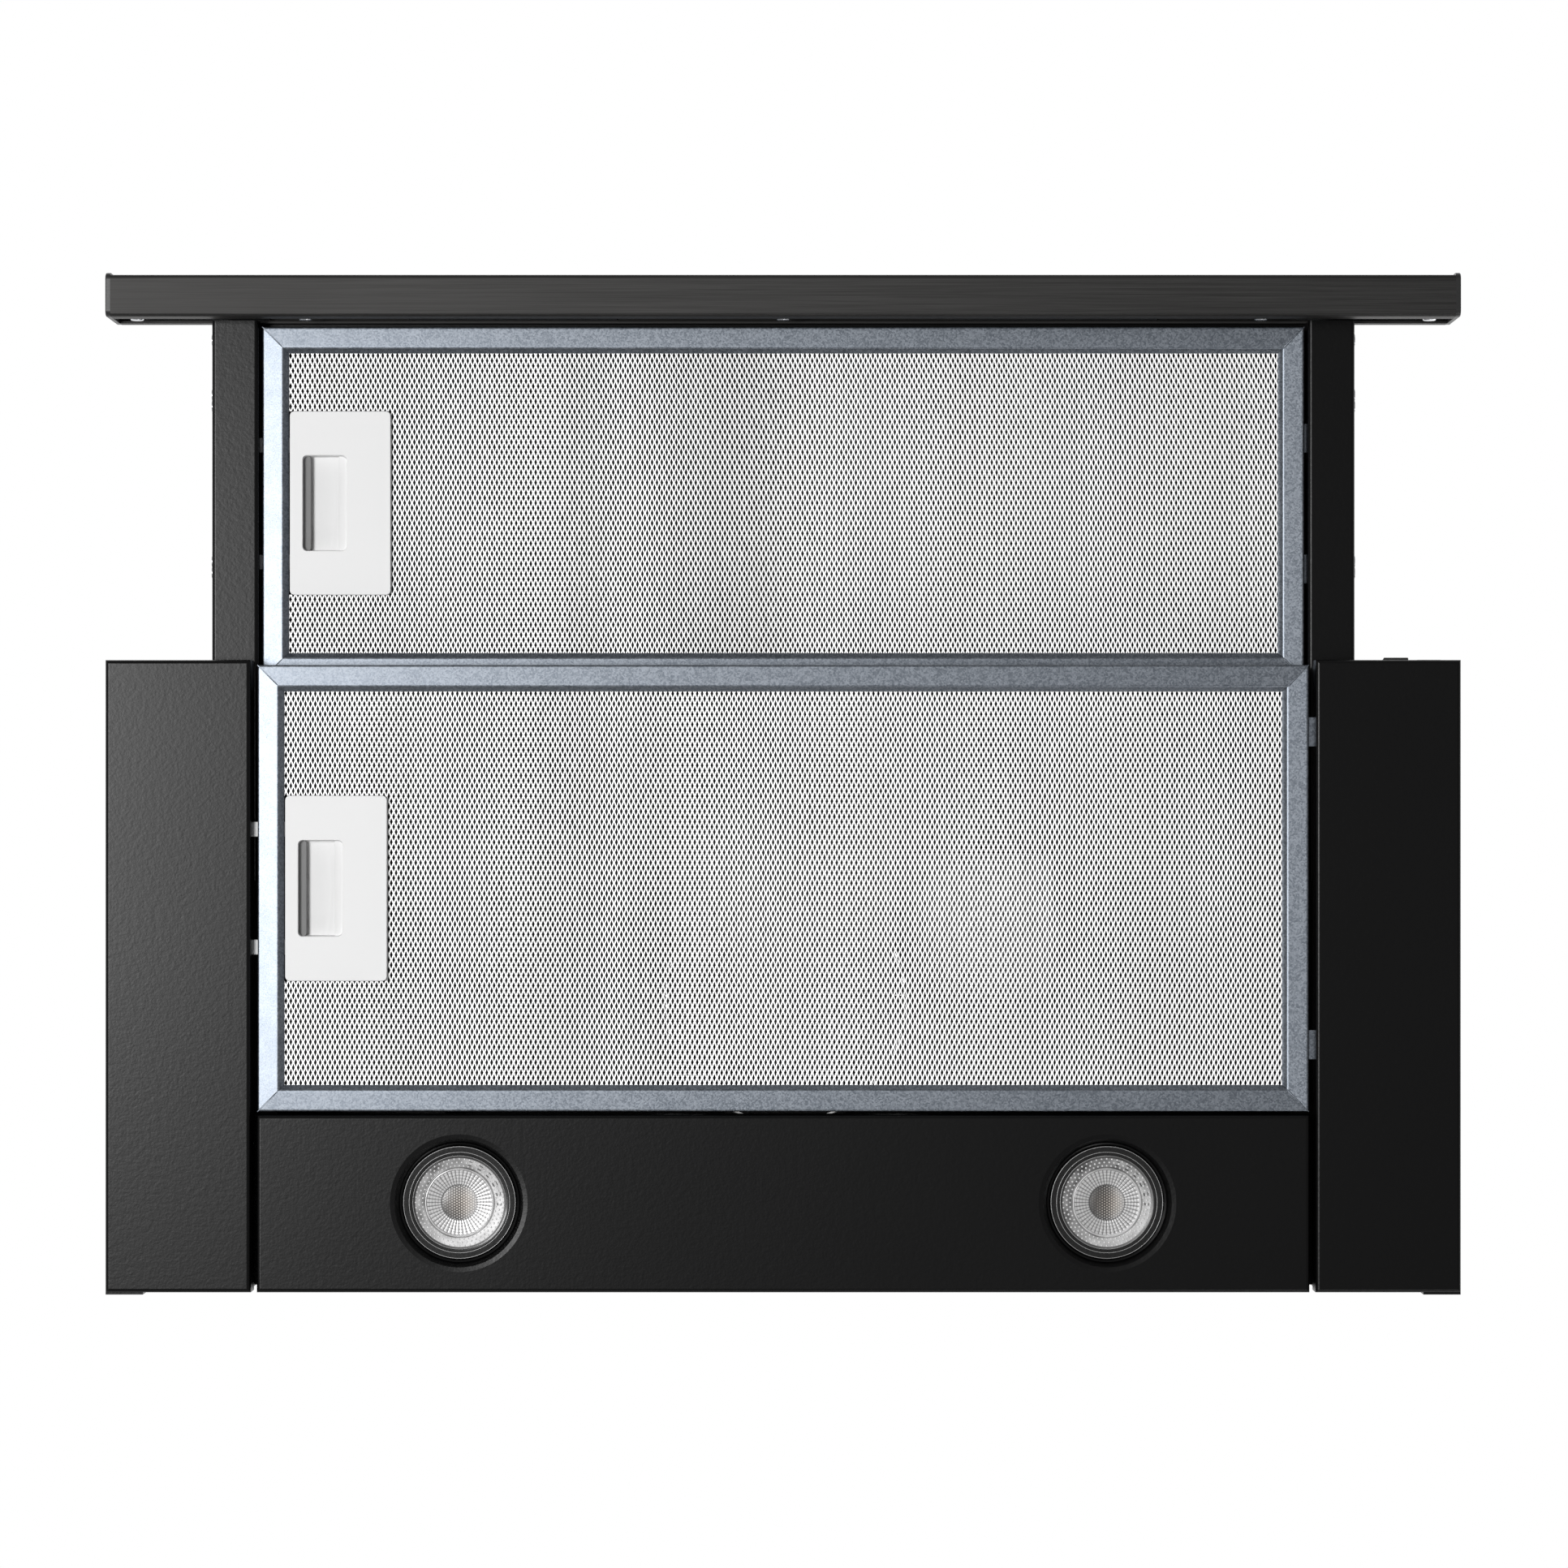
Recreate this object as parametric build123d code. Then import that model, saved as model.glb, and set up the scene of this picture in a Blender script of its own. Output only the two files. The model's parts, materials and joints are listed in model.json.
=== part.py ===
from build123d import *
import math
import os

# Slide-out range hood, drawn with its filter tray pulled out.
# Origin: middle of the footprint, on the flat underside. X to the right, front towards -Y, Z up.
# All lengths are in millimetres.

# Overall sizes
hood_width = 600.0
body_depth = 280.0
base_height = 40.0
casing_inset = 50.0
casing_rear_inset = 10.0
casing_height = 135.0
casing_setback = 8.0
tray_extension = 152.0
tray_travel = 150.0

# Sheet metal
sheet = 1.0
bend = 1.8
low_flange = 15.0
rear_tab_width = 16.5
flange_gap = 11.0
running_gap = 0.3
fit_gap = 0.05
shaft_gap = 0.03

# Handle bar
bar_depth = 18.5
bar_lower_lip = 11.5
bar_upper_lip = 9.0
bar_screw_head = 3.0
bar_screw_head_height = 1.5
bar_screw_above_lip = 5.5
outer_screw_inset = 12.0
inner_screw_inset = 87.0
window_above_screw = 3.5
middle_window = 75.0
side_window_inset = 69.0
side_window_width = 63.0
slot_inset = 28.5
slot_width = 6.5
small_slot_inset = 5.0
small_slot_width = 4.0
cap_thickness = 2.2
cap_proud = 1.0
cap_corner = 3.0
cap_edge_round = 0.6
cap_plug_length = 8.0
cap_plug_gap = 2.0

# Filters
filter_inset = 67.2
filter_thickness = 9.0
filter_recess = 1.5
filter_side_gap = 2.9
filter_front_gap = 2.2
front_filter_depth = 157.4
front_filter_gap = 2.5
frame_sheet = 0.6
frame_face = 9.6
frame_step = 2.1
mesh_inset = 3.0
mesh_gap = 0.15
mesh_thickness = 0.8

# Filter latch
plate_inset = 13.0
plate_width = 44.3
plate_length = 82.0
plate_face = 1.8
plate_wall = 1.5
plate_sink = 0.3
plate_corner = 2.0
recess_margin = 5.0
recess_width = 19.6
recess_length = 42.7
bolt_offset = 26.15
bolt_width = 6.6
bolt_thickness = 1.5
bolt_height = 4.5
bolt_engagement = 1.5
slider_width = 24.3
grip_start = 11.8
grip_hollow = 2.3
spring_leaf = 0.7
spring_height = 2.0
spring_swing = 4.0
spring_folds = 5
spring_offset = 14.0

# Filter hinge tongues
tongue_width = 12.8
tongue_thickness = 2.4
tongue_height = 2.5
tongue_offset = 69.3
tongue_slot_play = 0.4
pivot_gap = 0.5
tray_tongue_offset = 29.25
tray_slot_length = 18.0

# Lamp panel and lamps
panel_depth = 78.5
panel_gap = 1.5
panel_side_gap = 2.7
lamp_inset = 156.5
lamp_from_rear = 39.6
lamp_radius = 25.0
lamp_sink = 4.0
lamp_length = 48.0
lamp_shell = 6.0
lamp_waist = 32.0
lamp_waist_step = 2.0
lamp_cup = 2.5
lamp_base_radius = 14.0
lens_thickness = 2.0
lens_rim = 1.0
lens_sink = 0.4
dish_radius = 29.5
dish_depth = 6.0
dish_gap = 0.4
lamp_pin_radius = 2.5
lamp_pin_length = 6.0
lamp_pin_spacing = 10.0
holder_length = 16.0
bracket_width = 20.0
bracket_foot = 10.0
bracket_gap = 8.0

# Tray
rail_inner_gap = 1.4
rail_width = 20.8
rail_height = 18.5
rail_rear_gap = 30.0
cover_gap = 1.0
tray_seat = 2.8
cover_overhang = 4.0
brace_depth = 5.6
brace_height = 5.0
rivet_radius = 2.7
rivet_shank = 1.6
rivet_head = 0.9
first_rivet = 8.0
rivet_rows = (32.5, 37.6, 107.0, 112.0)

# Guides and rollers
guide_gap = 7.0
guide_lip = 5.6
guide_channel = 11.0
guide_foot = 10.0
rear_roller_radius = 5.2
rear_roller_width = 4.2
roller_side_gap = 0.6
rear_roller_setback = 12.0
front_roller_radius = 7.0
front_roller_width = 12.0
front_roller_back = 10.0
axle_radius = 2.0
roller_round = 0.5
roller_from_wall = 3.5

# Casing fixings
casing_flange = 12.0
deck_flange = 7.0
deck_opening_flange = 22.0
casing_screw_radius = 1.7
casing_screw_head = 3.5
casing_screw_head_height = 1.8
casing_screw_from_corner = 30.0
screw_edge_round = 0.6
casing_screw_length = 8.0
mount_hole_radius = 2.5
mount_spacing_y = 180.0
mount_spacing_z = 85.0
mount_height = 106.5

# Fan
fan_back = 120.0
impeller_radius = 45.0
impeller_half_width = 42.0
blade_count = 30
blade_chord = 9.0
blade_thickness = 0.9
hub_thickness = 3.0
scroll_half_width = 50.0
scroll_wall = 2.0
scroll_start = 51.0
scroll_end = 66.0
outlet_depth = 57.0
inlet_radius = 40.0
shaft_radius = 4.0
motor_radius = 34.0
motor_length = 66.0
motor_standoff = 7.0
motor_plate = 1.5
motor_edge_round = 3.0
motor_plate_inset = 4.0
motor_nose_radius = 10.0
bracket_post_radius = 3.5
bracket_post_circle = 47.0

# Duct outlet
collar_radius = 60.0
collar_wall = 2.0
collar_flange = 12.0
collar_height = 30.0
collar_flange_thickness = 2.0
flap_thickness = 1.0
flap_gap = 0.8
flap_pin_radius = 1.5
flap_knuckle = 2.9
flap_height = 8.0
knuckle_gap = 0.3
knuckle_count = 6

# Electrical parts
terminal_width = 60.0
terminal_depth = 40.0
terminal_height = 30.0
terminal_wall = 2.0
terminal_corner = 3.0
terminal_inset = 60.0
terminal_rear_inset = 50.0
gland_radius = 8.0
gland_bore = 4.0
gland_head = 11.0
gland_nut_height = 4.0
gland_dome_height = 8.0
capacitor_radius = 15.0
capacitor_length = 45.0
capacitor_inset = 78.0
capacitor_z = 130.0
capacitor_foot = 16.0
capacitor_round = 1.5
rocker_width = 11.0
rocker_height = 18.0
rocker_pitch = 14.6
rocker_first = 5.0
rocker_proud = 0.4
rocker_scoop = 30.0
rocker_sag = 0.8
rocker_swing = 7.0
rocker_pivot_depth = 6.0
rocker_pin_radius = 1.0
rocker_edge_round = 0.5
switch_box_depth = 20.0

# Places worked out from the sizes above
overall_depth = cap_proud + bar_depth + tray_extension + body_depth + sheet
front_y = -overall_depth / 2
wing_front = front_y + cap_proud + bar_depth + tray_extension
wing_back = wing_front + body_depth
half_width = hood_width / 2
deck_z = base_height - sheet
casing_top = base_height + casing_height
casing_front = wing_front + casing_setback
casing_back = wing_back - casing_rear_inset
casing_side = half_width - casing_inset
filter_half = half_width - filter_inset
bay_half = filter_half + filter_side_gap
rear_filter_front = wing_front + filter_front_gap
panel_front = wing_back - panel_depth
rear_filter_back = panel_front - panel_gap
rear_filter_depth = rear_filter_back - rear_filter_front
panel_half = bay_half - panel_side_gap
bar_back = wing_front - tray_extension
bar_front = bar_back - bar_depth
front_filter_front = bar_back + front_filter_gap
front_filter_back = front_filter_front + front_filter_depth
rail_top = deck_z - cover_gap - sheet
rail_bottom = rail_top - rail_height
rail_inner = filter_half + rail_inner_gap
rail_outer = rail_inner + rail_width
rail_length = body_depth - rail_rear_gap
front_filter_z = rail_bottom + tray_seat
guide_inner = rail_outer + guide_gap
fan_y = wing_front + fan_back
fan_z = casing_top - sheet - scroll_end
duct_y = fan_y + scroll_end - outlet_depth / 2
lamp_x = half_width - lamp_inset
lamp_y = wing_back - lamp_from_rear
terminal_x = terminal_inset - casing_side
terminal_y = casing_back - terminal_rear_inset
capacitor_x = casing_side - capacitor_inset


def slab(x0, x1, y0, y1, z0, z1):
    """A block between two opposite corners."""
    middle = Pos((x0 + x1) / 2, (y0 + y1) / 2, (z0 + z1) / 2)
    return middle * Box(abs(x1 - x0), abs(y1 - y0), abs(z1 - z0))


def rod_x(radius, x0, x1, y, z):
    """A round rod along X."""
    return Pos((x0 + x1) / 2, y, z) * Rot(0, 90, 0) * Cylinder(radius, abs(x1 - x0))


def rod_y(radius, x, y0, y1, z):
    """A round rod along Y."""
    return Pos(x, (y0 + y1) / 2, z) * Rot(90, 0, 0) * Cylinder(radius, abs(y1 - y0))


def rod_z(radius, x, y, z0, z1):
    """A round rod along Z."""
    return Pos(x, y, (z0 + z1) / 2) * Cylinder(radius, abs(z1 - z0))


def other_side(shape):
    """The same shape on the other side of the hood's middle."""
    return mirror(shape, about=Plane.YZ)


def group(*shapes):
    """Several separate solids kept as one sub-part."""
    return Compound(list(shapes))


def yz_plane(x):
    """A drawing plane whose axes are the hood's Y and Z."""
    return Plane(origin=(x, 0, 0), x_dir=(0, 1, 0), z_dir=(1, 0, 0))


def xz_plane(y):
    """A drawing plane whose axes are the hood's X and Z."""
    return Plane(origin=(0, y, 0), x_dir=(1, 0, 0), z_dir=(0, -1, 0))


def sheet_section(points, side):
    """The section of a bent sheet whose one face runs through the points.

    The thickness lies to the left of them for side 1, and to the right for side -1.
    """
    corners = [Vector(*p) for p in points]
    steps = [(b - a).normalized() for a, b in zip(corners, corners[1:])]
    offset = []
    for index, corner in enumerate(corners):
        before = steps[max(index - 1, 0)]
        after = steps[min(index, len(steps) - 1)]
        normal = Vector(-before.Y, before.X) + Vector(-after.Y, after.X)
        moved = corner + normal * (2 * side * sheet / normal.length**2)
        offset.append((moved.X, moved.Y))
    turns = [a.X * b.Y - a.Y * b.X for a, b in zip(steps, steps[1:])]
    near = [bend if turn * side > 0 else bend - sheet for turn in turns]
    far = [bend - sheet if turn * side > 0 else bend for turn in turns]
    one = FilletPolyline(*points, radius=near)
    other = FilletPolyline(*offset, radius=far)
    ends = [Line(points[0], offset[0]), Line(points[-1], offset[-1])]
    edges = one.edges() + other.edges()
    for end in ends:
        edges = edges + end.edges()
    return make_face(edges)


def sheet_along_x(points, side, x0, x1):
    """A bent sheet with a section in Y and Z, running from x0 to x1."""
    return extrude(yz_plane(x0) * sheet_section(points, side), amount=x1 - x0, dir=(1, 0, 0))


def sheet_along_y(points, side, y0, y1):
    """A bent sheet with a section in X and Z, running from y0 to y1."""
    return extrude(xz_plane(y0) * sheet_section(points, side), amount=y1 - y0, dir=(0, 1, 0))


def pan(x0, x1, y0, y1, height):
    """An open-topped tray of folded sheet with rounded lower edges."""
    outside = slab(x0, x1, y0, y1, 0, height)
    outside = fillet(outside.edges().group_by(Axis.Z)[0], bend)
    inside = slab(x0 + sheet, x1 - sheet, y0 + sheet, y1 - sheet, sheet, height + sheet)
    inside = fillet(inside.edges().group_by(Axis.Z)[0], bend - sheet)
    return outside - inside


# Base frame


def base_deck():
    """The plate that closes the base and carries the casing."""
    plate = slab(-half_width, half_width, wing_front, wing_back, deck_z, base_height)
    half_opening = casing_side - deck_opening_flange
    opening_front = casing_front + deck_flange
    opening_back = casing_back - 2 * sheet
    opening = slab(-half_opening, half_opening, opening_front, opening_back, 0, casing_top)
    opening = fillet(opening.edges().filter_by(Axis.Z), 2 * bend)
    return plate - opening


def plain_wing():
    """The right wing: a folded pan with a low edge beside the filters."""
    over = base_height + sheet
    wing = pan(bay_half, half_width, wing_front, wing_back, deck_z)
    front = wing_front - sheet
    wing -= slab(bay_half - sheet, bay_half + bend, front, wing_back + sheet, low_flange, over)
    tray_mouth = guide_inner - 2 * sheet
    wing -= slab(bay_half - sheet, tray_mouth, front, wing_front + bend, low_flange, over)
    inside = half_width - sheet
    flange = guide_inner + sheet + guide_foot + flange_gap
    wing += slab(flange, inside, wing_front + sheet, wing_back - sheet, deck_z - sheet, deck_z)
    tab_front = half_width - rear_tab_width
    wing += slab(tab_front, half_width, wing_back, wing_back + sheet, bend, deck_z)
    return wing


def rocker_x(index):
    """The middle of a rocker across the hood, counted from the guide outwards."""
    return guide_inner + rocker_first + rocker_width / 2 + index * rocker_pitch


def rocker_window(index, depth):
    """The space that a rocker needs, through the front of the right wing."""
    x = rocker_x(index)
    half = rocker_width / 2 + running_gap
    reach = rocker_height / 2 + sheet
    z = base_height / 2
    return slab(x - half, x + half, wing_front - sheet, wing_front + depth, z - reach, z + reach)


def tongue_y():
    """Where the rear filter's hinge tongues lie along its right edge."""
    middle = (rear_filter_front + rear_filter_back) / 2
    return [middle - tongue_offset, middle + tongue_offset]


def bolt_y(middle):
    """Where the two bolts of a latch lie."""
    return [middle - bolt_offset, middle + bolt_offset]


def bolt_slot(y, x0, x1, z):
    """The space for a latch bolt through a wall between x0 and x1."""
    half = bolt_width / 2 + running_gap
    low = z + bolt_height - running_gap
    high = z + bolt_height + bolt_thickness + running_gap
    return slab(x0, x1, y - half, y + half, low, high)


def wing_right():
    """The right wing, with slots for the hinge tongues and windows for the rockers."""
    wing = plain_wing()
    pivot_z = filter_recess + tongue_height
    for y in tongue_y():
        half = tongue_width / 2 + tongue_slot_play
        low = pivot_z - tongue_thickness
        high = pivot_z + tongue_thickness / 2 + tongue_slot_play
        wing -= slab(bay_half - sheet, bay_half + 2 * sheet, y - half, y + half, low, high)
    for index in range(2):
        wing -= rocker_window(index, bend)
    return wing


def wing_left():
    """The left wing, with slots for the rear latch bolts."""
    wing = other_side(plain_wing())
    middle = (rear_filter_front + rear_filter_back) / 2
    for y in bolt_y(middle):
        wing -= bolt_slot(y, -bay_half - 2 * sheet, -bay_half + sheet, filter_recess)
    return wing


def dish():
    """The pressed ring that leads the lamp panel's sheet up to the lamp."""
    inner = lamp_radius + dish_gap
    lip = inner + sheet
    points = [
        (dish_radius + sheet, 0),
        (dish_radius - sheet, sheet / 4),
        (lip, dish_depth - 1.5 * sheet),
        (inner, dish_depth - sheet),
        (inner, dish_depth),
        (lip + sheet / 2, dish_depth),
        (dish_radius, 1.2 * sheet),
        (dish_radius + sheet, sheet),
    ]
    section = make_face(Polyline(*points, close=True))
    return revolve(Plane.XZ * section, axis=Axis.Z)


def lamp_panel():
    """The panel behind the rear filter, with two recesses for the lamps."""
    over = base_height + sheet
    panel = pan(-panel_half, panel_half, panel_front, wing_back, deck_z)
    panel -= slab(-half_width, half_width, panel_front - sheet, wing_back - bend, low_flange, over)
    for x in (-lamp_x, lamp_x):
        panel -= rod_z(dish_radius + sheet, x, lamp_y, -sheet, low_flange)
        panel += Pos(x, lamp_y, 0) * dish()
    return panel


def lamp_body():
    """A twist-in lamp's reflector and base, with its two contact studs."""
    outer = lamp_radius
    inner = lamp_radius - lens_rim
    waist = lamp_base_radius
    seat = lens_sink + lens_thickness + fit_gap
    points = [
        (0, seat + lamp_cup),
        (waist / 2, seat + lamp_cup),
        (inner, seat),
        (inner, 0),
        (outer, 0),
        (outer, lamp_shell),
        (outer - lamp_waist_step, lamp_shell + lamp_waist_step),
        (waist + lamp_waist_step, lamp_waist),
        (waist, lamp_waist + lamp_waist_step),
        (waist, lamp_length),
        (0, lamp_length),
    ]
    section = make_face(Polyline(*points, close=True))
    body = revolve(Plane.XZ * section, axis=Axis.Z)
    for side in (-1, 1):
        x = side * lamp_pin_spacing / 2
        body += rod_z(lamp_pin_radius, x, 0, lamp_length - sheet, lamp_length + lamp_pin_length)
    return body


def lamp_lens():
    """The clear front of a lamp."""
    return rod_z(lamp_radius - lens_rim - fit_gap, 0, 0, lens_sink, lens_sink + lens_thickness)


def lampholder():
    """The ceramic socket above a lamp."""
    low = lamp_length
    body = rod_z(lamp_base_radius, 0, 0, low, low + holder_length)
    for side in (-1, 1):
        x = side * lamp_pin_spacing / 2
        top = low + lamp_pin_length + running_gap
        body -= rod_z(lamp_pin_radius + fit_gap, x, 0, low - sheet, top)
    return body


def lamp_bracket():
    """The strap that stands on the lamp panel and holds a lampholder."""
    reach = dish_radius + sheet + bracket_gap / 2
    top = lamp_length + holder_length + lamp_sink + sheet
    points = [
        (-reach - bracket_foot, 2 * sheet),
        (-reach, 2 * sheet),
        (-reach, top),
        (reach, top),
        (reach, 2 * sheet),
        (reach + bracket_foot, 2 * sheet),
    ]
    half = bracket_width / 2
    return sheet_along_y(points, -1, -half, half)


# Casing


def casing_screw_places():
    """Each casing screw: its seat on the outer face and the direction of its shank."""
    x = casing_side - casing_flange / 2
    inset = casing_screw_from_corner
    heights = [base_height + inset, casing_top - inset]
    depths = [casing_front + 2 * inset, casing_back - 2 * inset]
    places = []
    for side in (-x, x):
        places += [((side, casing_front, z), (0, 1, 0)) for z in heights]
        places += [((side, casing_back, z), (0, -1, 0)) for z in heights]
        places += [((side, y, casing_top), (0, 0, -1)) for y in depths]
    return places


def along(place, direction, radius, start, end):
    """A round rod from a seat along a direction."""
    at = Vector(*place) + Vector(*direction) * start
    return extrude(Plane(origin=at, z_dir=direction) * Circle(radius), amount=end - start)


def without_screw_holes(shape):
    """The shape with a hole for each casing screw."""
    for place, direction in casing_screw_places():
        shape -= along(place, direction, casing_screw_radius + fit_gap, -sheet, 3 * sheet)
    return shape


def casing_wrap():
    """The casing's front, top and rear in one bent sheet."""
    flange_z = base_height + sheet
    points = [
        (casing_front - deck_flange, flange_z),
        (casing_front, flange_z),
        (casing_front, casing_top),
        (casing_back, casing_top),
        (casing_back, flange_z),
        (casing_back + deck_flange, flange_z),
    ]
    end = casing_side - sheet
    wrap = sheet_along_x(points, -1, -end, end)
    low = casing_top - 2 * sheet
    high = casing_top + sheet
    wrap -= rod_z(collar_radius + fit_gap, 0, duct_y, low, high)
    wrap -= rod_z(gland_radius + fit_gap, terminal_x, terminal_y, low, high)
    return without_screw_holes(wrap)


def mount_hole_places():
    """Where the fixing holes lie in a casing side."""
    middle = (casing_front + casing_back) / 2
    for y in (middle - mount_spacing_y / 2, middle + mount_spacing_y / 2):
        for z in (mount_height - mount_spacing_z / 2, mount_height + mount_spacing_z / 2):
            yield y, z


def casing_side_right():
    """The casing's right wall, with flanges behind the wrap and holes for the cabinet screws."""
    inner = casing_side - sheet
    edge = inner - casing_flange
    clear = 3 * bend
    wall = slab(inner, casing_side, casing_front, casing_back, base_height, casing_top)
    low = base_height + clear
    high = casing_top - clear
    front = casing_front + sheet
    back = casing_back - sheet
    wall += slab(edge, inner, front, front + sheet, low, high)
    wall += slab(edge, inner, back - sheet, back, low, high)
    wall += slab(edge, inner, front + clear, back - clear, casing_top - 2 * sheet, casing_top - sheet)
    wall += slab(edge, inner, front + clear, back - clear, base_height, base_height + sheet)
    for y, z in mount_hole_places():
        wall -= rod_x(mount_hole_radius, inner - sheet, casing_side + sheet, y, z)
    return without_screw_holes(wall)


def casing_screws():
    """The pan-head screws that close the casing."""
    screws = []
    for place, direction in casing_screw_places():
        head = along(place, direction, casing_screw_head, -casing_screw_head_height, 0)
        head = fillet(head.edges().filter_by(GeomType.CIRCLE), screw_edge_round)
        shank_start = -casing_screw_head_height / 2
        screws.append(head + along(place, direction, casing_screw_radius, shank_start, casing_screw_length))
    return group(*screws)


# Fan


def volute_section(wall):
    """The spiral of the fan housing with its straight outlet, grown outwards by a wall."""
    throat = scroll_end - outlet_depth - wall
    top = scroll_end
    start = math.acos((scroll_end - outlet_depth) / scroll_start)
    growth = (scroll_end - scroll_start) / (2 * math.pi - start)
    first = math.acos(throat / (scroll_start + wall))
    steps = 14
    spiral = []
    for index in range(steps + 1):
        angle = first + (2 * math.pi - first) * index / steps
        radius = scroll_start + wall + growth * (angle - start)
        spiral.append((radius * math.cos(angle), radius * math.sin(angle)))
    curve = Spline(*spiral)
    rise = Line(spiral[-1], (spiral[-1][0], top))
    lid = Line((spiral[-1][0], top), (spiral[0][0], top))
    drop = Line((spiral[0][0], top), spiral[0])
    return make_face(curve.edges() + rise.edges() + lid.edges() + drop.edges())


def scroll_right():
    """The right half of the fan housing, with a round inlet in its side."""
    at = yz_plane(0) * Pos(fan_y, fan_z)
    outside = extrude(at * volute_section(scroll_wall), amount=scroll_half_width, dir=(1, 0, 0))
    inside = extrude(at * volute_section(0), amount=scroll_half_width - scroll_wall, dir=(1, 0, 0))
    half = outside - inside
    side = scroll_half_width - scroll_wall
    half -= rod_x(inlet_radius, side - scroll_wall, scroll_half_width + scroll_wall, fan_y, fan_z)
    return half


def impeller():
    """A double-inlet wheel: a hub disc, curved blades and an end ring on each side."""
    reach = impeller_half_width
    wheel = rod_x(impeller_radius - blade_thickness, -hub_thickness / 2, hub_thickness / 2, 0, 0)
    inner_edge = impeller_radius - blade_chord
    ring = Circle(impeller_radius) - Circle(inner_edge)
    for x in (-reach, reach - hub_thickness):
        wheel += extrude(yz_plane(x) * ring, amount=hub_thickness, dir=(1, 0, 0))
    hub_length = 6 * hub_thickness
    wheel += rod_x(3 * shaft_radius, -hub_length / 2, hub_length / 2, 0, 0)
    half = blade_thickness / 2
    blade = slab(-reach, reach, -half, half, inner_edge + half, impeller_radius - half)
    blades = [Rot(360 / blade_count * index, 0, 0) * blade for index in range(blade_count)]
    wheel = wheel.fuse(*blades)
    wheel -= rod_x(shaft_radius + shaft_gap, -hub_length, hub_length, 0, 0)
    return Pos(0, fan_y, fan_z) * wheel


def motor_face():
    """The motor's front face along X."""
    return scroll_half_width + motor_standoff + motor_plate


def motor_shaft():
    """The fan shaft, from the wheel's hub into the motor."""
    return rod_x(shaft_radius, -4 * hub_thickness, motor_face() + motor_length / 2, fan_y, fan_z)


def motor():
    """The motor can with its bearing noses and a bore for the shaft."""
    face = motor_face()
    back = face + motor_length
    can = rod_x(motor_radius, face, back, fan_y, fan_z)
    can = fillet(can.edges().filter_by(GeomType.CIRCLE), motor_edge_round)
    can += rod_x(motor_nose_radius, face - 2 * motor_plate, back + 3 * motor_plate, fan_y, fan_z)
    bore_end = face + motor_length / 2 + sheet
    can -= rod_x(shaft_radius + fit_gap, face - motor_length, bore_end, fan_y, fan_z)
    return can


def motor_bracket():
    """The three-armed plate that holds the motor in front of the right inlet."""
    low = scroll_half_width
    plate_x = low + motor_standoff
    back = plate_x + motor_plate
    half = bracket_post_radius
    plate = rod_x(motor_radius - motor_plate_inset, plate_x, back, 0, 0)
    post = rod_x(half, low, back, 0, bracket_post_circle)
    arm = slab(plate_x, back, -half, half, 0, bracket_post_circle)
    for index in range(3):
        plate += Rot(30 + 120 * index, 0, 0) * (post + arm)
    plate -= rod_x(motor_nose_radius + fit_gap, low, back + sheet, 0, 0)
    return Pos(0, fan_y, fan_z) * plate


def outlet_collar():
    """The round spigot for the duct, on a flange, with bores for the flap pin."""
    inner = collar_radius - collar_wall
    low = casing_top - sheet
    ring = rod_z(collar_radius, 0, duct_y, low, casing_top + collar_height)
    seat = casing_top + collar_flange_thickness
    ring += rod_z(collar_radius + collar_flange, 0, duct_y, casing_top, seat)
    ring -= rod_z(inner, 0, duct_y, low - sheet, casing_top + collar_height + sheet)
    z = flap_z()
    pin_bore = rod_x(flap_pin_radius + fit_gap, -2 * collar_radius, 2 * collar_radius, duct_y, z)
    return ring - pin_bore


def flap_z():
    """The height of the flap pin."""
    return casing_top + flap_height


def damper_pin():
    """The pin that both flaps turn on."""
    reach = collar_radius - collar_wall / 4
    return rod_x(flap_pin_radius, -reach, reach, duct_y, flap_z())


def damper_flap(side):
    """A half-round flap behind (side 1) or in front of (side -1) the pin."""
    radius = collar_radius - collar_wall - flap_gap
    half = flap_thickness / 2
    disc = rod_z(radius, 0, 0, -half, half)
    start = flap_knuckle + knuckle_gap
    flap = disc & slab(-radius, radius, start, 2 * radius, -flap_thickness, flap_thickness)
    reach = math.sqrt(radius**2 - flap_knuckle**2) - flap_gap
    pitch = 2 * reach / knuckle_count
    for index in range(knuckle_count):
        if index % 2 == (side > 0):
            x0 = -reach + index * pitch + knuckle_gap
            x1 = x0 + pitch - 2 * knuckle_gap
            flap += rod_x(flap_knuckle, x0, x1, 0, 0)
            flap += slab(x0, x1, 0, start + flap_thickness, -half, half)
    flap -= rod_x(flap_pin_radius + fit_gap, -radius, radius, 0, 0)
    if side < 0:
        flap = mirror(flap, about=Plane.XZ)
    return Pos(0, duct_y, flap_z()) * flap


# Electrical parts


def terminal_box():
    """The box under the casing top where the supply is joined."""
    y = terminal_y
    top = casing_top - sheet
    low = top - terminal_height
    wide = terminal_width / 2
    deep = terminal_depth / 2
    wall = terminal_wall
    box = slab(terminal_x - wide, terminal_x + wide, y - deep, y + deep, low, top)
    box = fillet(box.edges().filter_by(Axis.Z), terminal_corner)
    wide -= wall
    deep -= wall
    box -= slab(terminal_x - wide, terminal_x + wide, y - deep, y + deep, low + wall, top - wall)
    return box - rod_z(gland_radius + fit_gap, terminal_x, y, top - 2 * wall, top + sheet)


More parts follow.
